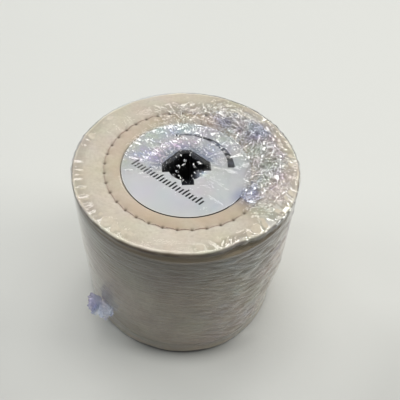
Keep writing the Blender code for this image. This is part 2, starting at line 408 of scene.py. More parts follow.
filmLook = {
    "cool": (0.60, 0.64, 0.82, 1.0), "warm": (0.86, 0.85, 0.80, 1.0), "clear": (0.965, 0.968, 0.975, 1.0),
    "grain": (1.0, 1.0, 1.0), "fineScale": 420.0, "cellScale": 600.0, "cells": 0.4, "tintScale": 60.0,
    "hueScale": 75.0, "hueShare": 0.55, "leastHue": 0.05, "milkyHue": 0.8, "coolShare": 0.55,
    "relief": 0.04 * mm, "hazeShare": 0.8, "roughness": 0.07, "ior": 1.6, "mostShine": 0.8,
}
sleeveLook = dict(
    filmLook, grain=(0.25, 0.25, 1.0), fineScale=520.0, cellScale=300.0, hueScale=38.0, hueShare=0.35,
    roughness=0.16, relief=0.08 * mm, cool=(0.62, 0.65, 0.66, 1.0), warm=(0.70, 0.66, 0.58, 1.0),
)
tailLook = dict(
    filmLook, cool=(0.46, 0.51, 0.72, 1.0), warm=(0.60, 0.58, 0.72, 1.0), clear=(0.84, 0.86, 0.96, 1.0),
    hazeShare=1.0, hueShare=0.32,
)
plasticLook = {
    "colour": (0.004, 0.0045, 0.005, 1.0), "worn": (0.010, 0.011, 0.012, 1.0),
    "scuffScale": 260.0, "roughness": 0.42, "relief": 0.05 * mm,
}
paperLook = {
    "colour": (0.54, 0.545, 0.54, 1.0), "shade": (0.49, 0.50, 0.505, 1.0), "edge": (0.66, 0.64, 0.58, 1.0),
    # core: the dark bluish colour of painted shade over the core
    "core": (0.165, 0.19, 0.26, 1.0), "fibreScale": 2200.0, "cloudScale": 45.0, "relief": 0.04 * mm,
}
inkLook = dict(
    plasticLook, colour=(0.004, 0.004, 0.005, 1.0), worn=(0.01, 0.01, 0.01, 1.0),
    scuffScale=900.0, roughness=0.6,
)
threadLook = {
    "colour": (0.50, 0.33, 0.26, 1.0), "faded": (0.60, 0.48, 0.38, 1.0), "dark": (0.14, 0.07, 0.05, 1.0),
    "strandScale": 3500.0, "cloudScale": 130.0, "relief": 0.06 * mm,
}

felt = makeFelt("creamFelt", feltLook)
sideFelt = makeFelt("layeredFelt", sideFeltLook)
film = makeFilm("clearFilm", filmLook)
sleeveFilm = makeFilm("woundFilm", sleeveLook)
tailFilm = makeFilm("foldedFilm", tailLook)
plastic = makePlastic("blackPlastic", plasticLook)
paper = makePaper("labelPaper", paperLook)
ink = makePlastic("blackInk", inkLook)
threadFinish = makeThread("sewingThread", threadLook)
say("materials made")


def outerRadius(nodeName):
    low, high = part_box(nodeName)
    return max(high.x, high.y, -low.x, -low.y)


wheel = {
    "rimRadius": outerRadius("felt_layer_01"),
    "feltRadius": outerRadius("felt_layer_02"),
    "feltTop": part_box("felt_layer_01")[1].z,
    "endBottom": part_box("felt_layer_01")[0].z,
    "labelTop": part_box("label_top")[1].z,
    "labelRadius": outerRadius("label_top"),
    "coreTop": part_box("spline_core")[1].z,
    "coreRadius": outerRadius("spline_core"),
    "flangeBottom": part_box("end_flange_top")[0].z,
    "stitchRadius": (outerRadius("stitch_thread_1_upper") - 0.45 * mm),
    "filmTop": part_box("film_cover")[1].z,
    "holeRadius": outerRadius("spline_core") + 0.3 * mm,
}


lean = {"amount": 3.2 * mm, "from": 6 * mm, "to": 38 * mm, "inner": 15 * mm, "outer": 58 * mm}


def leaned(places):
    # the soft stack is pulled in a little on its lower right by the tight film
    share = smooth(lean["inner"], lean["outer"], places[:, 0])
    share = share * smooth(lean["from"], lean["to"], -places[:, 2])
    moved = np.array(places)
    moved[:, 0] -= lean["amount"] * share
    return moved


endLayer = {
    "stitches": 38, "stepsPerStitch": 6, "spacing": 0.7 * mm, "dishRadius": 34.35 * mm,
    "stitchDrop": 1.5 * mm, "sewnDepth": 0.55 * mm, "crownRadius": 50.0 * mm, "rimHeight": 3.2 * mm,
    "rimRound": 1.2 * mm, "overhang": 0.4 * mm,
    # the simulation: how hard it is blown up, how far a point may move, and what the stitches hold
    "pressure": 4.0, "frames": 18, "cap": 0.55 * mm, "simScale": 10.0, "sewnReach": 0.7 * mm, "sewnTurn": 0.9,
    # unevenness of the face and the rim, and the needle holes
    "undulation": 0.256 * mm, "faceGrain": 0.05 * mm, "rimWave": 0.28 * mm, "rimGrain": 0.04 * mm,
    "pucker": 0.22 * mm, "puckerReach": 2.6 * mm, "holeReach": 0.75 * mm, "holeDepth": 0.6 * mm,
    # where the wrap has pulled the rim in: degrees, depth and reach in radians
    "dents": [(-90.0, 1.1 * mm, 0.45), (-63.0, 2.0 * mm, 0.15), (-47.0, 0.6 * mm, 0.2)],
    # strengths of the painted shade in the holes, the crease and at the foot, of the painted highlight on the
    # rim, and of the stain
    "holeShade": 1.2, "creaseShade": 0.95, "footShade": 0.6, "darkest": 0.92, "rimHighlightShare": 0.75,
    "stainShade": 0.55, "frontStain": 0.35, "footLight": 0.6,
}


def rimDent(radius, angle, height):
    # how far the tight wrap has pulled the upper rim in at each place
    dent = np.zeros(len(radius))
    for where, depth, reach in endLayer["dents"]:
        dent = dent + depth * bump(turnGap(angle, math.radians(where)), 0.0, reach)
    dent = dent * smooth(wheel["rimRadius"] - 12 * mm, wheel["rimRadius"] - 0.5 * mm, radius)
    return dent * smooth(wheel["feltTop"] - 7 * mm, wheel["feltTop"] - 4 * mm, height)


def endProfile(look):
    # upper face from the flange out to the rim, round it and down, then back along the underside
    top, rim = wheel["feltTop"], wheel["rimRadius"]
    seat = wheel["flangeBottom"] - 0.3 * mm
    stitchTop = top - look["stitchDrop"]
    soft = look["rimRound"]
    faceCorners = [
        (look["dishRadius"], seat),
        (look["dishRadius"] + 0.1 * mm, wheel["labelTop"] - 0.1 * mm),
        (look["dishRadius"] + 1.2 * mm, wheel["labelTop"] + 0.5 * mm),
        (wheel["stitchRadius"] - 1.5 * mm, stitchTop),
        (wheel["stitchRadius"], stitchTop - look["sewnDepth"]),
        (wheel["stitchRadius"] + 1.5 * mm, stitchTop + 0.15 * mm),
        (look["crownRadius"], top - 0.1 * mm),
        (rim - soft, top), (rim - 0.3 * soft, top - 0.3 * soft), (rim, top - soft),
        (rim - 0.05 * mm, top - look["rimHeight"] + look["overhang"]),
        (wheel["feltRadius"] - 0.15 * mm, top - look["rimHeight"]),
        (wheel["feltRadius"], top - look["rimHeight"] - 1.0 * mm),
        (wheel["feltRadius"], wheel["endBottom"]),
    ]
    face = rounded(resample(faceCorners, look["spacing"]), 1)
    underCorners = [
        (wheel["feltRadius"] - 4 * mm, wheel["endBottom"]), (wheel["holeRadius"], wheel["endBottom"]),
        (wheel["holeRadius"], seat), (look["dishRadius"] - 4 * mm, seat),
    ]
    under = resample(underCorners, 6 * mm)
    return face, np.vstack([face, under])


def simulateSewnPad(piece, look, pinned, scale):
    # inflates a copy ten times as large, with gravity off, then brings the result back
    start = getPlaces(piece.data)
    setPlaces(piece.data, start * scale)
    group = piece.vertex_groups.new(name="sewn")
    group.add([int(i) for i in np.nonzero(pinned)[0]], 1.0, "REPLACE")
    cloth = piece.modifiers.new("Puff", "CLOTH")
    cloth.settings.quality = 6
    cloth.settings.mass = 0.4
    cloth.settings.tension_stiffness = 30.0
    cloth.settings.compression_stiffness = 30.0
    cloth.settings.bending_stiffness = 1.5
    cloth.settings.vertex_group_mass = "sewn"
    cloth.settings.use_pressure = True
    cloth.settings.uniform_pressure_force = look["pressure"]
    cloth.settings.effector_weights.gravity = 0.0
    scene = bpy.context.scene
    for number in range(1, look["frames"] + 1):
        scene.frame_set(number)
    mesh = applied(piece)
    scene.frame_set(1)
    piece.vertex_groups.clear()
    moved = getPlaces(mesh) / scale - start
    length = np.linalg.norm(moved, axis=1, keepdims=True)
    moved *= np.minimum(1.0, look["cap"] / np.maximum(length, 1e-9))
    setPlaces(mesh, start + moved)


def heldPoints(grid, angles, look, faceRows):
    # the points that the sewing, the flange, the rim and the underside keep in place
    radius = np.hypot(grid[..., 0], grid[..., 1])
    atStitch = np.abs(turnGap(angles * look["stitches"], 0.0)) < look["sewnTurn"]
    sewn = (np.abs(radius - wheel["stitchRadius"]) < look["sewnReach"]) & atStitch[None, :]
    underside = np.arange(len(grid))[:, None] >= faceRows - 4
    atFlange = radius < look["dishRadius"] + 1.2 * mm
    atRim = radius > wheel["rimRadius"] - 2.2 * mm
    return (sewn | atFlange | atRim | underside).ravel()


def roughenFelt(places, radius, angle, side, look, seed):
    # moves the places by waves, puckers, needle holes and dents; gives the depth of the holes from 0 to 1
    rim, top = wheel["rimRadius"], wheel["feltTop"]
    onFace = smooth(look["dishRadius"], look["dishRadius"] + 3 * mm, radius)
    onFace = onFace * smooth(top - 7 * mm, top - 4 * mm, places[:, 2])
    outward = smooth(rim - 4 * mm, rim - 0.5 * mm, radius) * onFace
    wave = fractal(places, 90.0, 3, seed)
    grain = fractal(places, 700.0, 2, seed + 4.0)
    phase = turnGap(angle * look["stitches"], 0.0)
    pucker = bump(radius, wheel["stitchRadius"], look["puckerReach"]) * np.cos(phase)
    places[:, 2] += onFace * (wave * look["undulation"] + grain * look["faceGrain"] - pucker * look["pucker"])
    dent = rimDent(radius, angle, places[:, 2]) * (side > 0)
    push = 1.0 + (outward * (wave * look["rimWave"] + grain * look["rimGrain"]) - dent) / radius
    places[:, :2] *= push[:, None]
    toHole = np.hypot(radius - wheel["stitchRadius"], phase / look["stitches"] * radius)
    depth = bump(toHole, 0.0, look["holeReach"])
    places[:, 2] -= depth * look["holeDepth"] * onFace
    return depth


def blotches(places, scale, seed, mean, spread, least, most):
    return np.clip(mean + spread * fractal(places, scale, 2, seed), least, most)


def paintFelt(mesh, places, radius, depth, side, look, seed):
    # stain inside the sewing, a painted highlight along the upper rim, painted shadow in the crease under it,
    # painted shade in the needle holes and along the foot, and the sides of the layer painted with the shaded
    # side colour
    rim, stackEdge, sewing = wheel["rimRadius"], wheel["feltRadius"], wheel["stitchRadius"]
    upper, lower = side > 0, side < 0
    below = wheel["feltTop"] - places[:, 2]
    onSide = smooth(stackEdge - 2 * mm, stackEdge - 1 * mm, radius)
    underRim = 1.0 - smooth(look["rimHeight"] - 0.4 * mm, look["rimHeight"] + 0.8 * mm, below)
    # painted shadow: a dark crease just under the overhanging rim, on the upper layer
    crease = onSide * smooth(0.6 * mm, 1.2 * mm, below) * underRim * upper
    crease = crease * blotches(places, 120.0, seed + 12.0, 0.75, 0.9, 0.2, 1.0)
    # painted highlight: a cream line along the upper rim, standing in for the wrap's reflection of the light
    paintedRimHighlight = bump(below, 0.0, 0.3 * mm) * smooth(rim - 1.9 * mm, rim - 1.3 * mm, radius) * upper
    paintedRimHighlight = look["rimHighlightShare"] * paintedRimHighlight * blotches(places, 160.0, seed + 6.0, 0.95, 1.1, 0.3, 1.0)
    inside = 1.0 - smooth(sewing - 1.5 * mm, sewing + 1.2 * mm, radius)
    front = look["frontStain"] * smooth(5 * mm, 35 * mm, -places[:, 1])
    stain = inside * (look["stainShade"] + front + 0.45 * fractal(places, 60.0, 2, seed + 9.0))
    # painted shade: the side of each end layer takes the shaded side colour, on the lower layer less of it
    # away from the foot
    upperSideShade = smooth(0.2 * mm, 0.8 * mm, below)
    lowerSideShade = 1.0 - look["footLight"] * smooth(0.8 * mm, 2.6 * mm, below)
    # painted contact shadow: a dark line along the foot of the lower layer
    foot = (1.0 - smooth(0.4 * mm, 1.4 * mm, below)) * lower
    # painted shade in the needle holes, the crease and the foot, all carried by the hole attribute
    dark = depth * look["holeShade"] + crease * look["creaseShade"] + foot * look["footShade"]
    setAttribute(mesh, "edge", onSide * (upperSideShade if upper else lowerSideShade))
    setAttribute(mesh, "rim", paintedRimHighlight)
    setAttribute(mesh, "stain", np.clip(stain, 0.0, 1.0))
    setAttribute(mesh, "hole", np.clip(dark, 0.0, look["darkest"]))


def makeEndLayer(name, cadNode, side, look, seed):
    face, profile = endProfile(look)
    grid, angles = turn(profile, look["stitches"] * look["stepsPerStitch"])
    piece = addPiece(name, gridMesh(name, grid, profileClosed=True), felt)
    simulateSewnPad(piece, look, heldPoints(grid, angles, look, len(face)), look["simScale"])
    finer = piece.modifiers.new("Finer", "SUBSURF")
    finer.levels = 1
    finer.render_levels = 1
    mesh = applied(piece)
    places = getPlaces(mesh)
    radius, angle = polar(places)
    depth = roughenFelt(places, radius, angle, side, look, seed)
    paintFelt(mesh, places, radius, depth, side, look, seed)
    if side < 0:
        places[:, 2] *= -1.0
        places = leaned(places)
        mesh.flip_normals()
    setPlaces(mesh, places)
    mesh.shade_smooth()
    return finishPiece(piece, cadNode)


makeEndLayer("feltEndTop", "felt_layer_01", 1, endLayer, 2.0)
makeEndLayer("feltEndBottom", "felt_layer_15", -1, endLayer, 31.0)
say("felt end layers puffed")


def newNodeTree(name, inputs):
    # inputs are (name, socket type, value); gives the tree, its input node and the identifiers
    tree = bpy.data.node_groups.new(name, "GeometryNodeTree")
    made = {}
    for title, kind, value in inputs:
        socket = tree.interface.new_socket(title, in_out="INPUT", socket_type=kind)
        if value is not None:
            socket.default_value = value
        made[title] = socket.identifier
    tree.interface.new_socket("Geometry", in_out="OUTPUT", socket_type="NodeSocketGeometry")
    start = tree.nodes.new("NodeGroupInput")
    return tree, start, made


def endNodeTree(tree, start, geometry, shadeSmooth=True):
    geometry = node(tree, "GeometryNodeRealizeInstances", {"Geometry": geometry}).outputs[0]
    geometry = node(tree, "GeometryNodeSetShadeSmooth", {0: geometry, 2: shadeSmooth}).outputs[0]
    finish = node(tree, "GeometryNodeSetMaterial", {
        "Geometry": geometry, "Material": start.outputs["Material"],
    })
    end = tree.nodes.new("NodeGroupOutput")
    tree.links.new(finish.outputs[0], end.inputs[0])


def growPiece(name, tree, identifiers, values, material):
    # runs a node tree on an empty mesh and keeps the plain mesh that it makes
    piece = bpy.data.objects.new(name, bpy.data.meshes.new(name))
    bpy.context.scene.collection.objects.link(piece)
    modifier = piece.modifiers.new("Grow", "NODES")
    modifier.node_group = tree
    modifier[identifiers["Material"]] = material
    for title, value in values.items():
        modifier[identifiers[title]] = value
    applied(piece)
    return piece


def vectorMath(tree, operation, a, b=None, scale=None):
    inputs = {0: a}
    if b is not None:
        inputs[1] = b
    if scale is not None:
        inputs["Scale"] = scale
    return node(tree, "ShaderNodeVectorMath", inputs, operation=operation).outputs[0]


def pliesTree():
    # washers with rounded edges in a stack, each with its own size, wavered by noise
    tree, start, made = newNodeTree("feltPlies", [
        ("Material", "NodeSocketMaterial", None), ("Count", "NodeSocketInt", 3),
        ("Top", "NodeSocketFloat", 0.0), ("Ply", "NodeSocketFloat", 2 * mm),
        ("Outer", "NodeSocketFloat", 58 * mm), ("Inner", "NodeSocketFloat", 17 * mm),
        ("Edge", "NodeSocketFloat", 0.5 * mm), ("Steps", "NodeSocketInt", 200),
        ("Waver", "NodeSocketFloat", 0.3 * mm), ("Seed", "NodeSocketInt", 1),
    ])
    put = start.outputs
    middle = times(tree, math2(tree, "ADD", put["Outer"], put["Inner"]), 0.5)
    width = math2(tree, "SUBTRACT", put["Outer"], put["Inner"])
    ring = node(tree, "GeometryNodeCurvePrimitiveCircle", {"Resolution": put["Steps"], "Radius": middle})
    section = node(tree, "GeometryNodeCurvePrimitiveQuadrilateral", {
        "Width": width, "Height": times(tree, put["Ply"], 0.985),
    })
    soft = node(tree, "GeometryNodeFilletCurve", {
        "Curve": section.outputs[0], "Radius": put["Edge"], "Limit Radius": True,
    })
    if hasattr(soft, "mode"):
        soft.mode = "POLY"
    soft.inputs["Count"].default_value = 3
    washer = node(tree, "GeometryNodeCurveToMesh", {
        "Curve": ring.outputs[0], "Profile Curve": soft.outputs[0],
    })
    first = math2(tree, "SUBTRACT", put["Top"], times(tree, put["Ply"], 0.5))
    startPlace = node(tree, "ShaderNodeCombineXYZ", {"Z": first}).outputs[0]
    down = node(tree, "ShaderNodeCombineXYZ", {"Z": times(tree, put["Ply"], -1.0)}).outputs[0]
    line = node(tree, "GeometryNodeMeshLine", {
        "Count": put["Count"], "Start Location": startPlace, "Offset": down,
    })
    size = node(tree, "FunctionNodeRandomValue", {2: 0.9955, 3: 1.0, "Seed": put["Seed"]}, data_type="FLOAT")
    sizes = node(tree, "ShaderNodeCombineXYZ", {"X": size.outputs[1], "Y": size.outputs[1], "Z": 1.0})
    placed = node(tree, "GeometryNodeInstanceOnPoints", {
        "Points": line.outputs[0], "Instance": washer.outputs[0], "Scale": sizes.outputs[0],
    })
    whole = node(tree, "GeometryNodeRealizeInstances", {"Geometry": placed.outputs[0]}).outputs[0]
    place = node(tree, "GeometryNodeInputPosition").outputs[0]
    flat = vectorMath(tree, "MULTIPLY", place, (1.0, 1.0, 0.0))
    outwards = vectorMath(tree, "NORMALIZE", flat)
    radius = node(tree, "ShaderNodeVectorMath", {0: flat}, operation="LENGTH").outputs["Value"]
    nearEdge = node(tree, "ShaderNodeMapRange", {
        "Value": radius, "From Min": 0.050, "From Max": 0.057,
    }).outputs["Result"]
    shift = node(tree, "ShaderNodeCombineXYZ", {"X": put["Seed"]}).outputs[0]
    shifted = vectorMath(tree, "ADD", place, shift)
    coarse = noiseTexture(tree, vectorMath(tree, "MULTIPLY", shifted, (1.0, 1.0, 6.0)), 110.0, 4.0)
    amount = times(tree, math2(tree, "SUBTRACT", coarse, 0.62), put["Waver"])
    amount = times(tree, times(tree, amount, nearEdge), 2.0)
    offset = vectorMath(tree, "SCALE", outwards, scale=amount)
    moved = node(tree, "GeometryNodeSetPosition", {"Geometry": whole, "Offset": offset})
    endNodeTree(tree, start, moved.outputs[0])
    return tree, made


def stitchesTree():
    # short twisted threads on a ring, each arched between two needle holes
    tree, start, made = newNodeTree("ringStitches", [
        ("Material", "NodeSocketMaterial", None), ("Count", "NodeSocketInt", 38),
        ("Radius", "NodeSocketFloat", 43 * mm), ("Height", "NodeSocketFloat", 0.0),
        ("Length", "NodeSocketFloat", 6.5 * mm), ("Thread", "NodeSocketFloat", 0.3 * mm),
        ("Rise", "NodeSocketFloat", 0.7 * mm), ("Start Turn", "NodeSocketFloat", 0.0),
        ("Seed", "NodeSocketInt", 3),
    ])
    put = start.outputs
    half = times(tree, put["Length"], 0.5)
    low = times(tree, put["Rise"], -1.6)
    high = times(tree, put["Rise"], 1.1)
    firstEnd = node(tree, "ShaderNodeCombineXYZ", {"X": times(tree, half, -1.0), "Z": low})
    lastEnd = node(tree, "ShaderNodeCombineXYZ", {"X": half, "Z": low})
    firstPull = node(tree, "ShaderNodeCombineXYZ", {"X": times(tree, half, -0.72), "Z": high})
    lastPull = node(tree, "ShaderNodeCombineXYZ", {"X": times(tree, half, 0.72), "Z": high})
    line = node(tree, "GeometryNodeCurvePrimitiveBezierSegment", {
        "Resolution": 14, "Start": firstEnd.outputs[0], "Start Handle": firstPull.outputs[0],
        "End Handle": lastPull.outputs[0], "End": lastEnd.outputs[0],
    })
    along = node(tree, "GeometryNodeSplineParameter").outputs["Factor"]
    twist = node(tree, "GeometryNodeSetCurveTilt", {
        "Curve": line.outputs[0], "Tilt": times(tree, along, 14.0),
    })
    strand = node(tree, "GeometryNodeCurvePrimitiveCircle", {
        "Resolution": 6, "Radius": times(tree, put["Thread"], 0.62),
    })
    aside = node(tree, "ShaderNodeCombineXYZ", {"X": times(tree, put["Thread"], 0.5)}).outputs[0]
    strands = node(tree, "GeometryNodeJoinGeometry")
    for direction in (1.0, -1.0):
        where = vectorMath(tree, "SCALE", aside, scale=direction)
        moved = node(tree, "GeometryNodeTransform", {"Geometry": strand.outputs[0], "Translation": where})
        tree.links.new(moved.outputs[0], strands.inputs[0])
    thread = node(tree, "GeometryNodeCurveToMesh", {
        "Curve": twist.outputs[0], "Profile Curve": strands.outputs[0], "Fill Caps": True,
    })
    ring = node(tree, "GeometryNodeCurvePrimitiveCircle", {"Resolution": 152, "Radius": put["Radius"]})
    places = node(tree, "GeometryNodeCurveToPoints", {
        "Curve": ring.outputs[0], "Count": put["Count"],
    }, mode="COUNT")
    facing = node(tree, "FunctionNodeAlignRotationToVector", {"Vector": places.outputs["Tangent"]}, axis="X")
    sway = node(tree, "FunctionNodeRandomValue", {
        0: (-0.05, 0.0, -0.09), 1: (0.05, 0.0, 0.09), "Seed": put["Seed"],
    }, data_type="FLOAT_VECTOR").outputs[0]
    swayed = node(tree, "FunctionNodeRotateRotation", {0: facing.outputs[0], 1: sway}, rotation_space="LOCAL")
    sizes = node(tree, "FunctionNodeRandomValue", {
        0: (0.84, 0.9, 0.75), 1: (1.0, 1.1, 1.15), "Seed": put["Seed"],
    }, data_type="FLOAT_VECTOR").outputs[0]
    sewn = node(tree, "GeometryNodeInstanceOnPoints", {
        "Points": places.outputs[0], "Instance": thread.outputs[0],
        "Rotation": swayed.outputs[0], "Scale": sizes,
    })
    whole = node(tree, "GeometryNodeRealizeInstances", {"Geometry": sewn.outputs[0]})
    lift = node(tree, "ShaderNodeCombineXYZ", {"Z": put["Height"]})
    spin = node(tree, "ShaderNodeCombineXYZ", {"Z": put["Start Turn"]})
    final = node(tree, "GeometryNodeTransform", {
        "Geometry": whole.outputs[0], "Translation": lift.outputs[0], "Rotation": spin.outputs[0],
    })
    endNodeTree(tree, start, final.outputs[0])
    return tree, made


plies = {
    "perLayer": 3, "edge": 0.4 * mm, "steps": 220, "waver": 0.35 * mm, "firstSeed": 11,
    "overlap": 0.12 * mm,  # closes the gap to the next layer from either side
}
pliesNodes, pliesInputs = pliesTree()
for number in range(2, 15):
    cadLayer = f"felt_layer_{number:02d}"
    low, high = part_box(cadLayer)
    thickness = high.z - low.z + 2 * plies["overlap"]
    layer = growPiece(f"feltPlies{number:02d}", pliesNodes, pliesInputs, {
        "Count": plies["perLayer"], "Top": high.z + plies["overlap"], "Ply": thickness / plies["perLayer"],
        "Outer": wheel["feltRadius"], "Inner": wheel["holeRadius"], "Edge": plies["edge"],
        "Steps": plies["steps"], "Waver": plies["waver"], "Seed": plies["firstSeed"] + number,
    }, sideFelt)
    setPlaces(layer.data, leaned(getPlaces(layer.data)))
    finishPiece(layer, cadLayer)
say("felt plies stacked")

stitches = {"length": 6.0 * mm, "thread": 0.19 * mm, "rise": 0.5 * mm, "proud": 0.15 * mm, "firstSeed": 3}
stitchNodes, stitchInputs = stitchesTree()
for cadRing in [n for n in sorted(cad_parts) if n.startswith("stitch_thread")]:
    low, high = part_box(cadRing)
    lower = cadRing.endswith("lower")  # made as an upper ring, then turned over
    height = (low.z + high.z) / 2 * (-1 if lower else 1) + stitches["proud"]
    sewing = growPiece(cadRing.replace("stitch_thread", "stitches"), stitchNodes, stitchInputs, {
        "Count": endLayer["stitches"], "Radius": wheel["stitchRadius"], "Height": height,
        "Length": stitches["length"], "Thread": stitches["thread"], "Rise": stitches["rise"],
        "Start Turn": math.pi / endLayer["stitches"],
        "Seed": stitches["firstSeed"] + int(cadRing.split("_")[2]),
    }, threadFinish)
    if lower:
        mirrored(sewing.data)
    finishPiece(sewing, cadRing)
say("rings of stitches sewn")


keyBore = {
    "radius": 9.7 * mm, "reach": 12.8 * mm, "width": 6.2 * mm, "turn": math.radians(5.0), "chamfer": 0.5 * mm,
}


def boreOutline(angles, grow=0.0):
    # radius of the keyed bore's edge at each angle: a circle crossed by two bars
    edge = np.full(len(angles), keyBore["radius"] + grow)
    for bar in range(4):
        gap = turnGap(angles, keyBore["turn"] + bar * math.pi / 2)
        ahead = np.maximum(np.cos(gap), 1e-6)
        beside = np.maximum(np.abs(np.sin(gap)), 1e-6)
        reach = np.minimum((keyBore["reach"] + grow) / ahead, (keyBore["width"] / 2 + grow) / beside)
        edge = np.where(np.cos(gap) > 0.5, np.maximum(edge, reach), edge)
    return edge


def boreAngles(steps):
    # even angles with the key corners added, so that the slots stay square
    even = np.linspace(0.0, 2 * math.pi, steps, endpoint=False)
    half, reach, radius = keyBore["width"] / 2, keyBore["reach"], keyBore["radius"]
    corners = []
    for bar in range(4):
        middle = keyBore["turn"] + bar * math.pi / 2
        for side in (1, -1):
            for corner in (math.atan2(half, reach), math.asin(half / radius)):
                corners += [middle + side * (corner + nudge) for nudge in (-0.004, 0.004)]
    return np.sort(np.concatenate([even, np.array(corners) % (2 * math.pi)]))


def ringGrid(rows, angles):
    # rows of (radius at each angle, height) as a grid
    grid = np.zeros((len(rows), len(angles), 3))
    for i, (radius, height) in enumerate(rows):
        grid[i, :, 0] = radius * np.cos(angles)
        grid[i, :, 1] = radius * np.sin(angles)
        grid[i, :, 2] = height
    return grid


def makeCore():
    angles = boreAngles(240)
    top, outer = wheel["coreTop"], np.full(len(angles), wheel["coreRadius"])
    edge, open_ = boreOutline(angles), boreOutline(angles, keyBore["chamfer"])
    cut = keyBore["chamfer"]
    rows = [(open_, top), (outer - 0.4 * mm, top), (outer, top - 0.4 * mm)]
    rows += [(outer, -top + 0.4 * mm), (outer - 0.4 * mm, -top), (open_, -top), (edge, -top + cut)]
    for share in np.linspace(-1.0, 1.0, 16)[1:-1]:
        rows.append((edge, share * (top - cut)))
    rows.append((edge, top - cut))
    mesh = gridMesh("splineCore", ringGrid(rows, angles), profileClosed=True)
    mesh.set_sharp_from_angle(angle=math.radians(30.0))
    return finishPiece(addPiece("splineCore", mesh, plastic), "spline_core")


def makeFlange(name, cadNode):
    low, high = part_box(cadNode)
    outer, inner, soft = outerRadius(cadNode), wheel["holeRadius"], 0.4 * mm
    corners = [(inner, high.z), (outer - soft, high.z), (outer, high.z - soft), (outer, low.z + soft),
               (outer - soft, low.z), (inner, low.z)]
    grid, _ = turn(np.array(corners), 160)
    mesh = gridMesh(name, grid, profileClosed=True)
    mesh.set_sharp_from_angle(angle=math.radians(50.0))
    return finishPiece(addPiece(name, mesh, plastic), cadNode)


label = {"thickness": 0.16 * mm, "wave": 0.09 * mm, "press": 0.1 * mm, "rows": 46}


def labelHeight(x, y):
    # height of the paper above its plane: pressed down over the core, a little wavy further out
    radius = np.hypot(x, y)
    points = np.column_stack([np.ravel(x), np.ravel(y), np.zeros(np.size(x))])
    wave = fractal(points, 55.0, 2, 7.0).reshape(np.shape(x))
    pressed = 1.0 - smooth(16.5 * mm, 18.5 * mm, radius)
    return wave * label["wave"] * smooth(15 * mm, 22 * mm, radius) - pressed * label["press"]


def makeLabel(name, cadNode, side):
    angles = boreAngles(300)
    hole = boreOutline(angles, 0.15 * mm)
    if side > 0:
        # on the far half the hole is cut straight from key to key, so the core shows there
        for corner in (math.radians(50.0), math.radians(140.0)):
            gap = turnGap(angles, corner)
            chord = 11.3 * mm / np.maximum(np.cos(gap), 0.5)
            hole = np.where(np.abs(gap) < math.radians(31.0), np.maximum(hole, chord), hole)
    outer = wheel["labelRadius"] - 0.1 * mm
    shares = np.linspace(0.0, 1.0, label["rows"])
    radius = hole[None, :] + (outer - hole)[None, :] * shares[:, None]
    x, y = radius * np.cos(angles), radius * np.sin(angles)
    upper = np.stack([x, y, wheel["labelTop"] + labelHeight(x, y)], axis=-1)
    lower = upper[::-1] - np.array([0.0, 0.0, label["thickness"]])
    grid = np.vstack([upper, lower])
    mesh = gridMesh(name, grid, profileClosed=True)
    edge = smooth(outer - 0.55 * mm, outer - 0.1 * mm, np.hypot(grid[..., 0], grid[..., 1]))
    setAttribute(mesh, "edge", edge * 0.8)
    # partly the black core showing dimly through the thin paper, partly painted shade on the far half near
    # the core
    shadeOverCore = 1.0 - smooth(14.0 * mm, 20.5 * mm, np.hypot(grid[..., 0], grid[..., 1]))
    cloudy = 0.55 + 0.45 * np.sin(grid[..., 0] / mm * 0.9) * np.sin(grid[..., 1] / mm * 0.8)
    upper = smooth(-2 * mm, 5 * mm, grid[..., 1] - grid[..., 0] * 0.2)
    setAttribute(mesh, "core", np.clip(shadeOverCore * upper * (0.7 + 0.35 * cloudy), 0.0, 1.0))
    if side < 0:
        mirrored(mesh)
    mesh.set_sharp_from_angle(angle=math.radians(50.0))
    return finishPiece(addPiece(name, mesh, paper), cadNode)


printing = {
    "height": 0.06 * mm, "arrowOuter": 25.6 * mm, "tail": 3.9 * mm, "tip": 0.9 * mm,
    "from": math.radians(1.0), "to": math.radians(99.0), "head": 3.4 * mm,
    "scaleFrom": (-28.8 * mm, 0.6 * mm), "scaleTo": (6.7 * mm, -26.0 * mm), "ticks": 22,
    "tickWidth": 1.0 * mm, "tall": 4.8 * mm, "short": 3.4 * mm, "slant": 0.15,
}


def inkStrip(points, faces, strip):
    # strip is a grid of (x, y); adds a thin raised skin that follows the paper
    rows, steps = strip.shape[:2]
    base = len(points)
    lift = wheel["labelTop"] + printing["height"] + labelHeight(strip[..., 0], strip[..., 1])
    points += np.dstack([strip, lift]).reshape(-1, 3).tolist()
    for i in range(rows - 1):
        for j in range(steps - 1):
            a = base + i * steps + j
            faces.append((a, a + 1, a + steps + 1, a + steps))


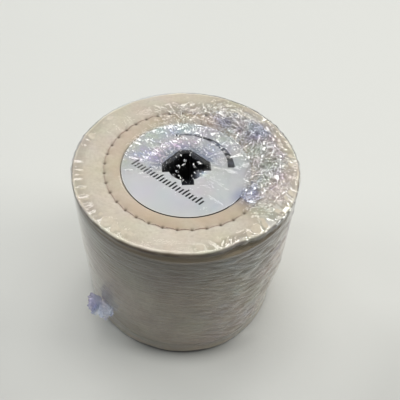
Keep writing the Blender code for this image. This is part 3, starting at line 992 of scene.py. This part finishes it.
def makePrint():
    look = printing
    points, faces = [], []
    along = np.linspace(0.0, 1.0, 60)
    angle = look["from"] + (look["to"] - look["from"]) * along
    width = look["tail"] + (look["tip"] - look["tail"]) * along ** 0.8
    across = np.linspace(0.0, 1.0, 5)
    radius = look["arrowOuter"] - width[None, :] * (1.0 - across[::-1, None])
    inkStrip(points, faces, np.dstack([radius * np.cos(angle), radius * np.sin(angle)])[:, ::-1])
    tipAngle = look["to"] + np.array([0.0, look["head"] * 1.25 / look["arrowOuter"]])
    middle = look["arrowOuter"] - look["tip"] / 2
    back = middle + np.array([-0.5, 0.5]) * look["head"]
    head = np.zeros((2, 2, 2))
    for i, r in enumerate(back):
        head[0, i] = (r * math.cos(tipAngle[0]), r * math.sin(tipAngle[0]))
        point = middle + (i - 0.5) * 0.1 * mm
        head[1, i] = (point * math.cos(tipAngle[1]), point * math.sin(tipAngle[1]))
    inkStrip(points, faces, head[::-1])
    begin, end = np.array(look["scaleFrom"]), np.array(look["scaleTo"])
    direction = (end - begin) / np.linalg.norm(end - begin)
    upward = np.array([-direction[1], direction[0]])
    for i, share in enumerate(np.linspace(0.0, 1.0, look["ticks"])):
        foot = begin + (end - begin) * share
        tall = look["tall"] if i % 4 == 0 else look["short"]
        rise = np.linspace(0.0, 1.0, 5)[:, None] * (upward + direction * look["slant"]) * tall
        half = direction * look["tickWidth"] / 2
        inkStrip(points, faces, np.stack([foot + rise + half, foot + rise - half]))
    mesh = bpy.data.meshes.new("labelPrint")
    mesh.from_pydata(points, [], faces)
    piece = addPiece("labelPrint", mesh, ink)
    skin = piece.modifiers.new("Skin", "SOLIDIFY")
    skin.thickness = 0.03 * mm
    skin.offset = -1.0
    applied(piece)
    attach(piece, "root")


makeCore()
makeFlange("endFlangeTop", "end_flange_top")
makeFlange("endFlangeBottom", "end_flange_bottom")
makeLabel("labelTop", "label_top", 1)
makeLabel("labelBottom", "label_bottom", -1)
makePrint()
say("core, flanges and labels made")


filmShape = {
    "spacing": 0.46 * mm, "steps": 600, "skirtEnd": 5.2 * mm, "standOff": 0.42 * mm,
    # the gathered part: its ends, its inner and outer edge, and how much further out it starts at its ends
    "bunchFrom": math.radians(-43.0), "bunchTo": math.radians(72.0),
    "bunchInner": 31.0 * mm, "bunchOuter": 54.5 * mm, "bunchTaper": 5.0 * mm,
    "coolPlaces": [(42 * mm, 27 * mm, 8 * mm), (29 * mm, -20 * mm, 8 * mm), (20 * mm, 33 * mm, 6 * mm)],
}


def sector(angle, middle, half, soft=0.35):
    # 1 within the half width of the middle, easing to 0; both in degrees
    gap = np.abs(turnGap(angle, math.radians(middle))) / math.radians(half)
    return 1.0 - smooth(1.0 - soft, 1.0 + soft, gap)


def band(radius, inner, outer, soft=3 * mm):
    half = soft / 2
    return smooth(inner - half, inner + half, radius) * (1.0 - smooth(outer - half, outer + half, radius))


def bunchMask(radius, angle):
    look = filmShape
    middle = math.degrees(look["bunchFrom"] + look["bunchTo"]) / 2
    half = math.degrees(look["bunchTo"] - look["bunchFrom"]) / 2
    gap = np.abs(turnGap(angle, math.radians(middle))) / math.radians(half)
    inner = look["bunchInner"] + look["bunchTaper"] * smooth(0.4, 1.0, gap)
    inside = smooth(inner - 2 * mm, inner + 4 * mm, radius)
    outside = smooth(look["bunchOuter"] - 4 * mm, look["bunchOuter"] + 3 * mm, radius)
    return sector(angle, middle, half, 0.18) * inside * (1.0 - outside)


def coverProfile():
    # over the bore, the label, the sewing and the rim, then down the side
    rim = wheel["rimRadius"] + 0.3 * mm
    top = wheel["feltTop"] + 0.25 * mm
    low = wheel["labelTop"] + 0.25 * mm
    corners = [
        (0.5 * mm, low - 1.0 * mm), (9.0 * mm, low - 0.3 * mm), (13.5 * mm, low),
        (33.5 * mm, low), (36.0 * mm, low + 0.9 * mm), (41.5 * mm, top - 1.25 * mm),
        (44.5 * mm, top - 1.0 * mm), (50.0 * mm, top), (rim - 1.0 * mm, top),
        (rim - 0.25 * mm, top - 0.3 * mm), (rim, top - 1.1 * mm), (rim, top - 2.2 * mm),
        (wheel["feltRadius"] + 0.5 * mm, top - 3.5 * mm),
        (wheel["feltRadius"] + filmShape["standOff"], top - filmShape["skirtEnd"]),
    ]
    return rounded(resample(corners, filmShape["spacing"]), 2)


coverFold = {
    # each kind of crumple has its size and its seed; rays and pleats run outwards
    "coarse": (5.5 * mm, 3), "medium": (2.4 * mm, 8), "small": (1.3 * mm, 14), "broad": (9.0 * mm, 21),
    "rays": (2.6 * mm, 5), "pleats": (3.2 * mm, 12), "turnRadius": 24 * mm, "crest": 1.2 * mm,
    # regions: middle and half width in degrees, and how softly they end
    "rear": (84.0, 26.0, 0.6), "behind": (95.0, 85.0, 0.4), "front": (-40.0, 50.0, 0.4),
    "milky": (135.0, 40.0, 0.6), "brightRim": (-52.0, 28.0, 0.5),
    # wrinkles on the rim: how strong they are, then where
    "wrinkles": [(1.0, -52.0, 24.0, 0.5), (0.6, 188.0, 42.0, 0.5), (0.9, 12.0, 60.0, 0.5)],
    "leastWrinkle": 0.04, "brightShare": 0.4, "lowest": -0.14 * mm,
    # a fold over the lower right of the bore
    "foldPlace": (8.8 * mm, -5.8 * mm), "foldReach": 2.7 * mm, "foldHaze": 0.8,
    # how far the film stands off in each region, and its share of each kind of crumple there
    "rise": {"bunch": 0.6 * mm, "rear": 0.2 * mm},
    "heights": {
        "bunch": {"coarse": 0.336, "medium": 0.378, "small": 0.21},
        "rear": {"coarse": 0.16, "medium": 0.20, "small": 0.06},
        "behind": {"medium": 0.10, "broad": 0.06, "rays": 0.12},
        "front": {"broad": 0.035, "medium": 0.015},
        "boreEdge": {"rays": 0.12, "medium": 0.05},
        "rim": {"pleats": 0.24},
        "felt": {"broad": 0.020, "medium": 0.012},
        "bore": {"coarse": 0.30, "medium": 0.45},
    },
    # milkiness of each region, and how much more the crests have
    "haze": {
        "bunch": (0.13, 0.13), "rear": (0.08, 0.09), "behind": (0.14, 0.16), "milky": (0.19, 0.19),
        "whiteRing": (0.08, 0.10), "rim": (0.06, 0.0), "brightRim": (0.25, 0.0), "frontCrest": (0.05, 0.0),
    },
    "leastHaze": 0.02, "roofHaze": 0.05,
    "shine": {"bunch": 2.0, "rear": 1.3, "behind": 1.5, "front": 0.25, "rim": 1.4, "brightRim": 0.8},
    "leastShine": 0.12, "boreShine": 0.04, "boreGlint": 9.0, "roofShine": 0.15,
}


def filmCrumples(x, y, radius, angle):
    # height of each kind of crumple at each place
    look = coverFold
    crumples = {kind: creased(x, y, *look[kind]) for kind in ("coarse", "medium", "small", "broad")}
    turns = angle * look["turnRadius"]
    crumples["rays"] = creased(turns, radius * 0.18, *look["rays"])
    crumples["pleats"] = creased(turns * 2.0, radius * 0.30, *look["pleats"])
    return crumples


def coverRegions(radius, angle, height, crumples):
    # how much each place belongs to each region of the upper end, from 0 to about 1
    look, rim, top = coverFold, wheel["rimRadius"], wheel["feltTop"]
    onLabel = band(radius, 13 * mm, 34 * mm)
    behind = onLabel * sector(angle, *look["behind"])
    front = onLabel * sector(angle, *look["front"])
    wrinkled = look["leastWrinkle"] + sum(share * sector(angle, *where) for share, *where in look["wrinkles"])
    atEdge = smooth(rim - 1.0 * mm, rim, radius) * smooth(top - 1.5 * mm, top - 0.5 * mm, height)
    return {
        "bunch": bunchMask(radius, angle),
        "rear": sector(angle, *look["rear"]) * band(radius, 26 * mm, 49 * mm, 9 * mm),
        "behind": behind,
        "front": front,
        "milky": onLabel * sector(angle, *look["milky"]),
        "whiteRing": behind * bump(radius, 17 * mm, 5 * mm),
        "frontCrest": front * np.clip(crumples["coarse"] / mm, 0.0, 1.0),
        "rim": smooth(51 * mm, 56 * mm, radius) * wrinkled,
        "brightRim": atEdge * look["brightShare"] * sector(angle, *look["brightRim"]),
        "felt": smooth(36 * mm, 40 * mm, radius),
        "boreEdge": bump(radius, 12 * mm, 9 * mm),
        "bore": 1.0 - smooth(8.5 * mm, 12.0 * mm, radius),
    }


def boreRoof(radius, angle):
    # the film over the two far corners of the bore, where the core lies close below it
    corners = np.zeros(len(radius))
    for side in (52.0, 136.0):
        reach = radius * np.cos(turnGap(angle, math.radians(side)))
        corners = np.maximum(corners, smooth(7.6 * mm, 8.6 * mm, reach))
    return corners * (1.0 - smooth(13 * mm, 16 * mm, radius))


def coverFolds(places, radius, angle):
    # how far the film stands off, how milky and how shiny it is, at each place on the upper end
    look, x, y = coverFold, places[:, 0], places[:, 1]
    crumples = filmCrumples(x, y, radius, angle)
    region = coverRegions(radius, angle, places[:, 2], crumples)
    off = sum(region[name] * rise for name, rise in look["rise"].items())
    for name, shares in look["heights"].items():
        off = off + region[name] * sum(share * crumples[kind] for kind, share in shares.items())
    off = np.where(radius > 14 * mm, np.maximum(off, look["lowest"]), off)
    crest = np.clip(crumples["medium"] / look["crest"], -1.0, 1.0)
    haze = look["leastHaze"]
    for name, (mean, more) in look["haze"].items():
        haze = haze + region[name] * (mean + more * crest)
    roof = boreRoof(radius, angle)
    foldX, foldY = look["foldPlace"]
    fold = bump(np.hypot(x - foldX, y - foldY), 0.0, look["foldReach"])
    haze = haze * (1.0 - region["bore"] * (1.0 - roof)) + roof * look["roofHaze"] + fold * look["foldHaze"]
    shine = look["leastShine"] + sum(region[name] * share for name, share in look["shine"].items())
    glint = smooth(0.25, 0.7, crest) * smooth(0.3 * mm, 1.0 * mm, crumples["coarse"])
    inBore = look["boreShine"] + look["boreGlint"] * glint + look["roofShine"] * roof
    shine = shine * (1.0 - region["bore"]) + region["bore"] * inBore
    under = smooth(0.9 * mm, 1.8 * mm, wheel["feltTop"] - places[:, 2]) * smooth(55 * mm, 57 * mm, radius)
    return off, np.clip(haze * (1.0 - 0.8 * under), 0.0, 1.0), shine * (1.0 - 0.7 * under)


def filmWarmth(places):
    # cooler tint where the gathered film is thickest, warmer between
    cool = np.zeros(len(places))
    for x, y, reach in filmShape["coolPlaces"]:
        cool = cool + bump(np.hypot(places[:, 0] - x, places[:, 1] - y), 0.0, reach)
    return 0.5 - 1.5 * np.clip(cool, 0.0, 1.0)


def finishFilm(piece, cadNode, haze, shine):
    setAttribute(piece.data, "haze", np.clip(haze, 0.0, 1.0))
    setAttribute(piece.data, "shine", shine)
    return finishPiece(piece, cadNode)


def makeCover():
    grid, _ = turn(coverProfile(), filmShape["steps"])
    flat = grid.reshape(-1, 3)
    radius, angle = polar(flat)
    off, haze, shine = coverFolds(flat, radius, angle)
    moved = flat + normalsOf(grid).reshape(-1, 3) * off[:, None]
    moved[:, :2] *= (1.0 - rimDent(radius, angle, flat[:, 2]) / radius)[:, None]
    mesh = gridMesh("filmCover", moved.reshape(grid.shape), capStart=True)
    piece = addPiece("filmCover", mesh, film)
    setAttribute(mesh, "warmth", filmWarmth(flat) * smooth(26 * mm, 32 * mm, radius))
    return finishFilm(piece, "film_cover", haze, shine)


sleeve = {
    "past": 0.6 * mm, "rows": 210, "steps": 440, "ends": 3 * mm, "slack": 0.1 * mm,
    # stretch lines and slanting pulls: size and seed, then height
    "lines": (1.8 * mm, 2), "lineHeight": 0.055, "pulls": (3.4 * mm, 17), "pullHeight": 0.03,
    "rightPulls": 0.20, "wave": 0.25 * mm, "right": (-30.0, 46.0, 0.5), "left": (-130.0, 28.0, 0.6),
    # the twisted fold that leads away from the tail: where it starts, and its height for each radian
    "foldFrom": 221.0, "foldHeight": -30.5 * mm, "foldClimb": -21 * mm, "foldRise": 0.3 * mm,
    "foldWidth": 1.1 * mm,
    # milkiness of the film; on the right and the left it is partly painted light
    "haze": 0.04, "lineHaze": 0.06, "rightHazeAndLight": 0.18, "foldHaze": 0.12, "leftHazeAndLight": 0.06, "shine": 1.3,
}


def makeSleeve():
    look = sleeve
    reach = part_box("film_sleeve")[1].z + look["past"]
    rows = np.linspace(reach, -reach, look["rows"])
    profile = np.column_stack([np.full(len(rows), wheel["feltRadius"] + filmShape["standOff"]), rows])
    grid, _ = turn(profile, look["steps"])
    flat = grid.reshape(-1, 3)
    height, angle = flat[:, 2], polar(flat)[1]
    around = angle * wheel["feltRadius"]
    lines = creased(around * 0.10, height, *look["lines"])
    pulls = creased(around * 0.35, height + around * 0.18, *look["pulls"])
    right = sector(angle, *look["right"]) * smooth(-85 * mm, -40 * mm, height)
    off = lines * look["lineHeight"] + pulls * (look["pullHeight"] + look["rightPulls"] * right)
    off = off + fractal(flat, 28.0, 2, 6.0) * look["wave"] + look["slack"]
    fromTail = turnGap(angle, math.radians(look["foldFrom"]))
    twist = height - (look["foldHeight"] + fromTail * look["foldClimb"])
    fold = bump(twist, 0.0, look["foldWidth"])
    fold = fold * smooth(0.0, 0.06, fromTail) * (1.0 - smooth(0.35, 0.7, fromTail))
    off = off + fold * look["foldRise"]
    ends = smooth(0.0, look["ends"], reach - np.abs(height))
    off = off * ends - (1.0 - ends) * look["slack"]
    outward = np.column_stack([np.cos(angle), np.sin(angle), np.zeros(len(angle))])
    haze = look["haze"] + look["lineHaze"] * np.clip(lines / mm, -0.6, 1.0)
    # milkier film on the right and the left of the side: partly the pulls turning milky, partly painted light
    # that brightens those sides
    haze = haze + look["rightHazeAndLight"] * right * (1.0 + np.clip(pulls / mm, -0.5, 1.0)) + look["foldHaze"] * fold
    haze = haze + look["leftHazeAndLight"] * sector(angle, *look["left"])
    mesh = gridMesh("filmSleeve", leaned(flat + outward * off[:, None]).reshape(grid.shape))
    piece = addPiece("filmSleeve", mesh, sleeveFilm)
    return finishFilm(piece, "film_sleeve", haze, np.full(len(haze), look["shine"]))


base = {
    "inner": 17.8 * mm, "steps": 360, "creases": (4 * mm, 4), "creaseHeight": 0.12,
    "haze": 0.12, "crestHaze": 0.1, "shine": 1.3, "floorShine": 0.2,
}


def makeBase():
    # the cover's profile turned over, open round the core and pressed flat on the floor
    look, profile = base, coverProfile()
    grid, _ = turn(profile[profile[:, 0] > look["inner"]][::2], look["steps"])
    flat = grid.reshape(-1, 3)
    radius, angle = polar(flat)
    creases = creased(angle * 40 * mm, radius * 0.3, *look["creases"])
    off = creases * look["creaseHeight"] * (1.0 - bump(radius, 54 * mm, 4 * mm))
    moved = flat + normalsOf(grid).reshape(-1, 3) * off[:, None]
    moved[:, 2] *= -1.0
    moved[:, 2] = np.maximum(moved[:, 2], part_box("film_base")[0].z)
    mesh = gridMesh("filmBase", leaned(moved).reshape(grid.shape))
    mesh.flip_normals()
    piece = addPiece("filmBase", mesh, film)
    onFloor = smooth(43 * mm, 46 * mm, -moved[:, 2])
    haze = (look["haze"] + look["crestHaze"] * creases / mm) * (1.0 - 0.9 * onFloor)
    shine = look["shine"] + (look["floorShine"] - look["shine"]) * onFloor
    return finishFilm(piece, "film_base", haze, shine)


def joinSheets(name, grids):
    points = np.vstack([grid.reshape(-1, 3) for grid in grids])
    faces, first = [], 0
    for grid in grids:
        rows, steps = grid.shape[:2]
        faces += quadFaces(np.arange(rows * steps).reshape(rows, steps) + first)
        first += rows * steps
    mesh = bpy.data.meshes.new(name)
    mesh.from_pydata(points.tolist(), [], faces)
    mesh.shade_smooth()
    return mesh


bunch = {
    "layers": 2, "rows": 66, "steps": 320, "seed": 40, "middle": 43.2 * mm, "wide": 18.0 * mm,
    "narrower": 3.0 * mm, "outwards": 1.2 * mm, "frontInwards": 5.0 * mm, "inset": 0.03, "insetMore": 0.07,
    # how high each layer stands, and its share of each kind of crumple with their sizes
    "rise": 1.0 * mm, "riseMore": 0.7 * mm, "gap": 0.3 * mm, "edge": 0.22, "endEdge": 0.08,
    "coarse": 5.0 * mm, "medium": 2.6 * mm, "small": 1.4 * mm, "slip": 4.0 * mm, "slipShare": 0.4,
    "haze": 0.21, "frontHaze": 0.12, "crestHaze": 0.17, "shine": 3.0,
}


def leafGrid(look, start):
    # how far along and across each point of a loose sheet lies
    along, across = np.linspace(0.0, 1.0, look["rows"]), np.linspace(start, 1.0, look["steps"])
    return np.meshgrid(along, across, indexing="ij")


def bunchLayer(look, layer, under):
    # one gathered layer of film as a grid of places, with its haze
    u, v = leafGrid(look, 0.0)
    span = filmShape["bunchTo"] - filmShape["bunchFrom"]
    inset = look["inset"] + look["insetMore"] * layer
    angle = filmShape["bunchFrom"] + span * (inset + (1.0 - 2.0 * inset) * v)
    swell = np.sin(math.pi * np.clip(0.06 + 0.88 * v, 0.0, 1.0)) ** 0.6
    ragged = 1.0 + 0.10 * np.sin(v * 31.0 + 2 * layer) + 0.06 * np.sin(v * 73.0 + layer)
    wide = look["wide"] - look["narrower"] * layer
    radius = look["middle"] + (u - 0.5) * wide * swell * ragged + look["outwards"] * layer
    radius = radius - look["frontInwards"] * (1.0 - smooth(0.06, 0.34, v))
    x, y = radius * np.cos(angle), radius * np.sin(angle)
    seed = look["seed"] + 9 * layer
    coarse = creased(x, y, look["coarse"], seed)
    medium = creased(x, y, look["medium"], seed + 1)
    small = creased(x, y, look["small"], seed + 2)
    free = smooth(0.0, look["edge"], u) * smooth(0.0, look["edge"], 1.0 - u)
    free = free * smooth(0.0, look["endEdge"], v) * smooth(0.0, look["endEdge"], 1.0 - v)
    rise = look["rise"] + look["riseMore"] * layer + 0.5 * coarse + 0.5 * medium + 0.25 * small
    z = np.interp(radius, under[:, 0], under[:, 1]) + look["gap"] * (1 + layer) + free * np.maximum(rise, 0.0)
    slipX = creased(y, x, look["slip"], seed + 3) * look["slipShare"]
    slipY = creased(x, -y, look["slip"], seed + 4) * look["slipShare"]
    front = 1.0 - smooth(0.1, 0.35, v)
    haze = look["haze"] + look["frontHaze"] * front + look["crestHaze"] * np.clip(medium / mm, -1.0, 1.0)
    return np.stack([x + slipX, y + slipY, z], axis=-1), haze.ravel()


def makeBunch():
    # gathered layers over the right half of the end, folded over each other
    look, profile = bunch, coverProfile()
    under = profile[:int(np.argmax(profile[:, 0] > 57 * mm))]
    grids, hazes = zip(*[bunchLayer(look, layer, under) for layer in range(look["layers"])])
    piece = addPiece("filmBunch", joinSheets("filmBunch", grids), film)
    setAttribute(piece.data, "warmth", filmWarmth(getPlaces(piece.data)))
    haze = np.concatenate(hazes)
    return finishFilm(piece, "film_bunch", haze, np.full(len(haze), look["shine"]))


tail = {
    "heading": 219.0, "off": 1.2 * mm, "rows": 44, "steps": 60, "root": 1.1, "apart": 0.4 * mm,
    "sway": 0.5 * mm, "crumple": (2.8 * mm, 70), "crumpleShare": 0.30, "haze": 0.45, "shine": 1.4,
    "leaves": [
        # length and half width in millimetres, then how far it heads sideways, outwards and upwards
        (8.5, 5.2, -0.25, 0.95, 0.30), (8.0, 4.6, -0.60, 0.70, -0.25),
        (11.5, 4.0, 0.97, 0.22, -0.10), (8.5, 4.4, 0.60, 0.60, -0.45),
    ],
}


def makeTail():
    # a bow of four pleated leaves, pinched at the side
    look = tail
    low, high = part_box("film_tail")
    heading = math.radians(look["heading"])
    outward = np.array([math.cos(heading), math.sin(heading), 0.0])
    sideways = np.array([-math.sin(heading), math.cos(heading), 0.0])
    upward = np.array([0.0, 0.0, 1.0])
    root = outward * (wheel["feltRadius"] + look["off"]) + upward * (low.z + high.z) / 2
    front = np.array([0.0, -math.sqrt(0.5), math.sqrt(0.5)])
    crumpleSize, seed = look["crumple"]
    grids = []
    for leaf, (tip, spread, side, out, up) in enumerate(look["leaves"]):
        ahead = sideways * side + outward * out + upward * up
        ahead = ahead / np.linalg.norm(ahead)
        across = np.cross(front, ahead)
        across = across / np.linalg.norm(across)
        lift = np.cross(ahead, across)
        u, v = leafGrid(look, -1.0)
        wide = (look["root"] + spread * u ** 0.55) * mm
        ragged = 1.0 - 0.22 * v * v + 0.07 * np.sin(7 * v + 2 * leaf) + 0.04 * np.sin(17 * v + leaf)
        a, c = tip * mm * u * ragged, v * wide * (1.0 + 0.05 * np.sin(9 * u + leaf))
        crumpled = look["crumpleShare"] * creased(a, c, crumpleSize, seed + leaf) * (0.3 + u)
        rise = look["sway"] * u * np.sin(4.0 * v + 1.7 * leaf) + crumpled + look["apart"] * leaf
        grids.append(root + a[..., None] * ahead + c[..., None] * across + rise[..., None] * lift)
    piece = addPiece("filmTail", joinSheets("filmTail", grids), tailFilm)
    count = len(piece.data.vertices)
    return finishFilm(piece, "film_tail", np.full(count, look["haze"]), np.full(count, look["shine"]))


makeCover()
makeSleeve()
makeBase()
makeBunch()
makeTail()
say("film wrapped, gathered and twisted")


studio = {
    # strengths of the painted shade towards the front, of the painted contact shadow and of the painted shade
    # in the front corners
    "floor": (0.62, 0.625, 0.592, 1.0), "frontShade": 0.10, "contactShadow": 0.62, "floorSize": 5.0, "corners": 0.15,
    "world": (0.60, 0.62, 0.64), "worldStrength": 0.32,
    "lamps": [
        # name, place, size, power, colour
        ("ceiling", (0.0, 0.15, 2.2), (2.6, 2.0), 27.2, (1.0, 0.99, 0.97)),
        ("backWindow", (0.0, 1.15, 2.15), (1.5, 0.5), 15.5, (1.0, 0.99, 0.975)),
        ("rightWindow", (2.0, 0.2, 0.8), (1.0, 1.3), 26.0, (1.0, 0.985, 0.96)),
        ("leftWindow", (-2.0, 0.3, 0.8), (1.0, 1.3), 12.5, (0.95, 0.98, 1.0)),
        ("sparkA", (0.45, 1.60, 1.10), (0.20, 0.20), 1.1, (1.0, 1.0, 1.0)),
        ("sparkB", (-1.00, 1.00, 1.30), (0.20, 0.20), 1.1, (0.94, 0.96, 1.0)),
        ("sparkC", (1.20, 0.60, 1.30), (0.20, 0.20), 1.1, (1.0, 1.0, 1.0)),
        ("sparkD", (-0.35, 1.75, 0.60), (0.20, 0.20), 0.9, (0.92, 0.95, 1.0)),
        ("sparkE", (1.30, 1.20, 0.55), (0.20, 0.20), 0.9, (1.0, 1.0, 1.0)),
        ("sparkF", (-1.50, 0.40, 0.70), (0.20, 0.20), 0.9, (1.0, 1.0, 1.0)),
    ],
    # the camera: degrees, and its distance from the middle of the upper end
    "distance": 279.7 * mm, "elevation": 44.87, "lens": 48.13, "roll": -1.66, "pan": -1.446, "tip": 4.04,
}


def makeFloor():
    material, tree = newMaterial("paleFloor")
    place = objectPlace(tree)
    ripple = noiseTexture(tree, place, 9.0, 3.0, 0.5)
    grain = noiseTexture(tree, place, 300.0, 2.0)
    relief = reliefNormal(tree, 0.35, 4 * mm, math2(tree, "ADD", ripple, times(tree, grain, 0.03)))
    depth = node(tree, "ShaderNodeSeparateXYZ", {0: place}).outputs[1]
    flat = vectorMath(tree, "MULTIPLY", place, (1.0, 1.0, 0.0))
    reach = node(tree, "ShaderNodeVectorMath", {0: flat}, operation="LENGTH").outputs["Value"]
    # painted shade: darker towards the front, a painted contact shadow close under the wheel, and painted
    # shade in the front corners
    front = times(tree, ramp(tree, depth, -20 * mm, -160 * mm), studio["frontShade"])
    contactShadow = math2(tree, "POWER", ramp(tree, reach, 70 * mm, 59 * mm), 2.0)
    contactShadow = times(tree, contactShadow, ramp(tree, depth, -46 * mm, -57 * mm))
    contactShadow = times(tree, contactShadow, studio["contactShadow"])
    corners = times(tree, ramp(tree, reach, 95 * mm, 140 * mm), ramp(tree, depth, -20 * mm, -86 * mm))
    corners = times(tree, corners, studio["corners"])
    colour = studio["floor"]
    for shade in (front, contactShadow, corners):
        colour = mixColour(tree, shade, colour, (0.0, 0.0, 0.0, 1.0))
    finishSolid(tree, {"Base Color": colour, "Roughness": 0.55, "Normal": relief})
    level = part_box("film_base")[0].z
    half = studio["floorSize"] / 2
    corners = [(-half, -half, level), (half, -half, level), (half, half, level), (-half, half, level)]
    mesh = bpy.data.meshes.new("floor")
    mesh.from_pydata(corners, [], [(0, 1, 2, 3)])
    addPiece("floor", mesh, material)


def makeLights():
    world = bpy.data.worlds.new("room")
    world.use_nodes = True
    background = world.node_tree.nodes["Background"]
    background.inputs["Color"].default_value = (*studio["world"], 1.0)
    background.inputs["Strength"].default_value = studio["worldStrength"]
    bpy.context.scene.world = world
    for name, place, size, power, colour in studio["lamps"]:
        lamp = bpy.data.lights.new(name, "AREA")
        lamp.shape = "RECTANGLE"
        lamp.size, lamp.size_y = size
        lamp.energy = power
        lamp.color = colour
        holder = bpy.data.objects.new(name, lamp)
        holder.location = place
        holder.rotation_mode = "QUATERNION"
        holder.rotation_quaternion = (-Vector(place)).to_track_quat("-Z", "Y")
        bpy.context.scene.collection.objects.link(holder)


def makeCamera():
    # stands in front and above, aimed at the middle of the upper end, then panned, tipped and rolled
    rise = math.radians(studio["elevation"])
    aim = Vector((0.0, 0.0, wheel["filmTop"]))
    back = Vector((0.0, -math.cos(rise), math.sin(rise)))
    right = Vector((1.0, 0.0, 0.0))
    axes = Matrix((right, back.cross(right), -back))
    roll = Matrix.Rotation(math.radians(studio["roll"]), 3, "Z")
    tip = Matrix.Rotation(math.radians(-studio["tip"]), 3, "X")
    pan = Matrix.Rotation(math.radians(studio["pan"]), 3, "Y")
    view = pan @ tip @ roll @ axes
    camera = bpy.data.cameras.new("camera")
    camera.lens = studio["lens"]
    camera.sensor_width = 36.0
    camera.clip_start = 0.01
    holder = bpy.data.objects.new("camera", camera)
    turned = Matrix((view[0], view[1], -view[2])).transposed().to_4x4()
    holder.matrix_world = Matrix.Translation(aim + back * studio["distance"]) @ turned
    bpy.context.scene.collection.objects.link(holder)
    bpy.context.scene.camera = holder


makeFloor()
makeLights()
makeCamera()
bpy.context.scene.view_settings.view_transform = "Standard"
say("floor, lights and camera set")
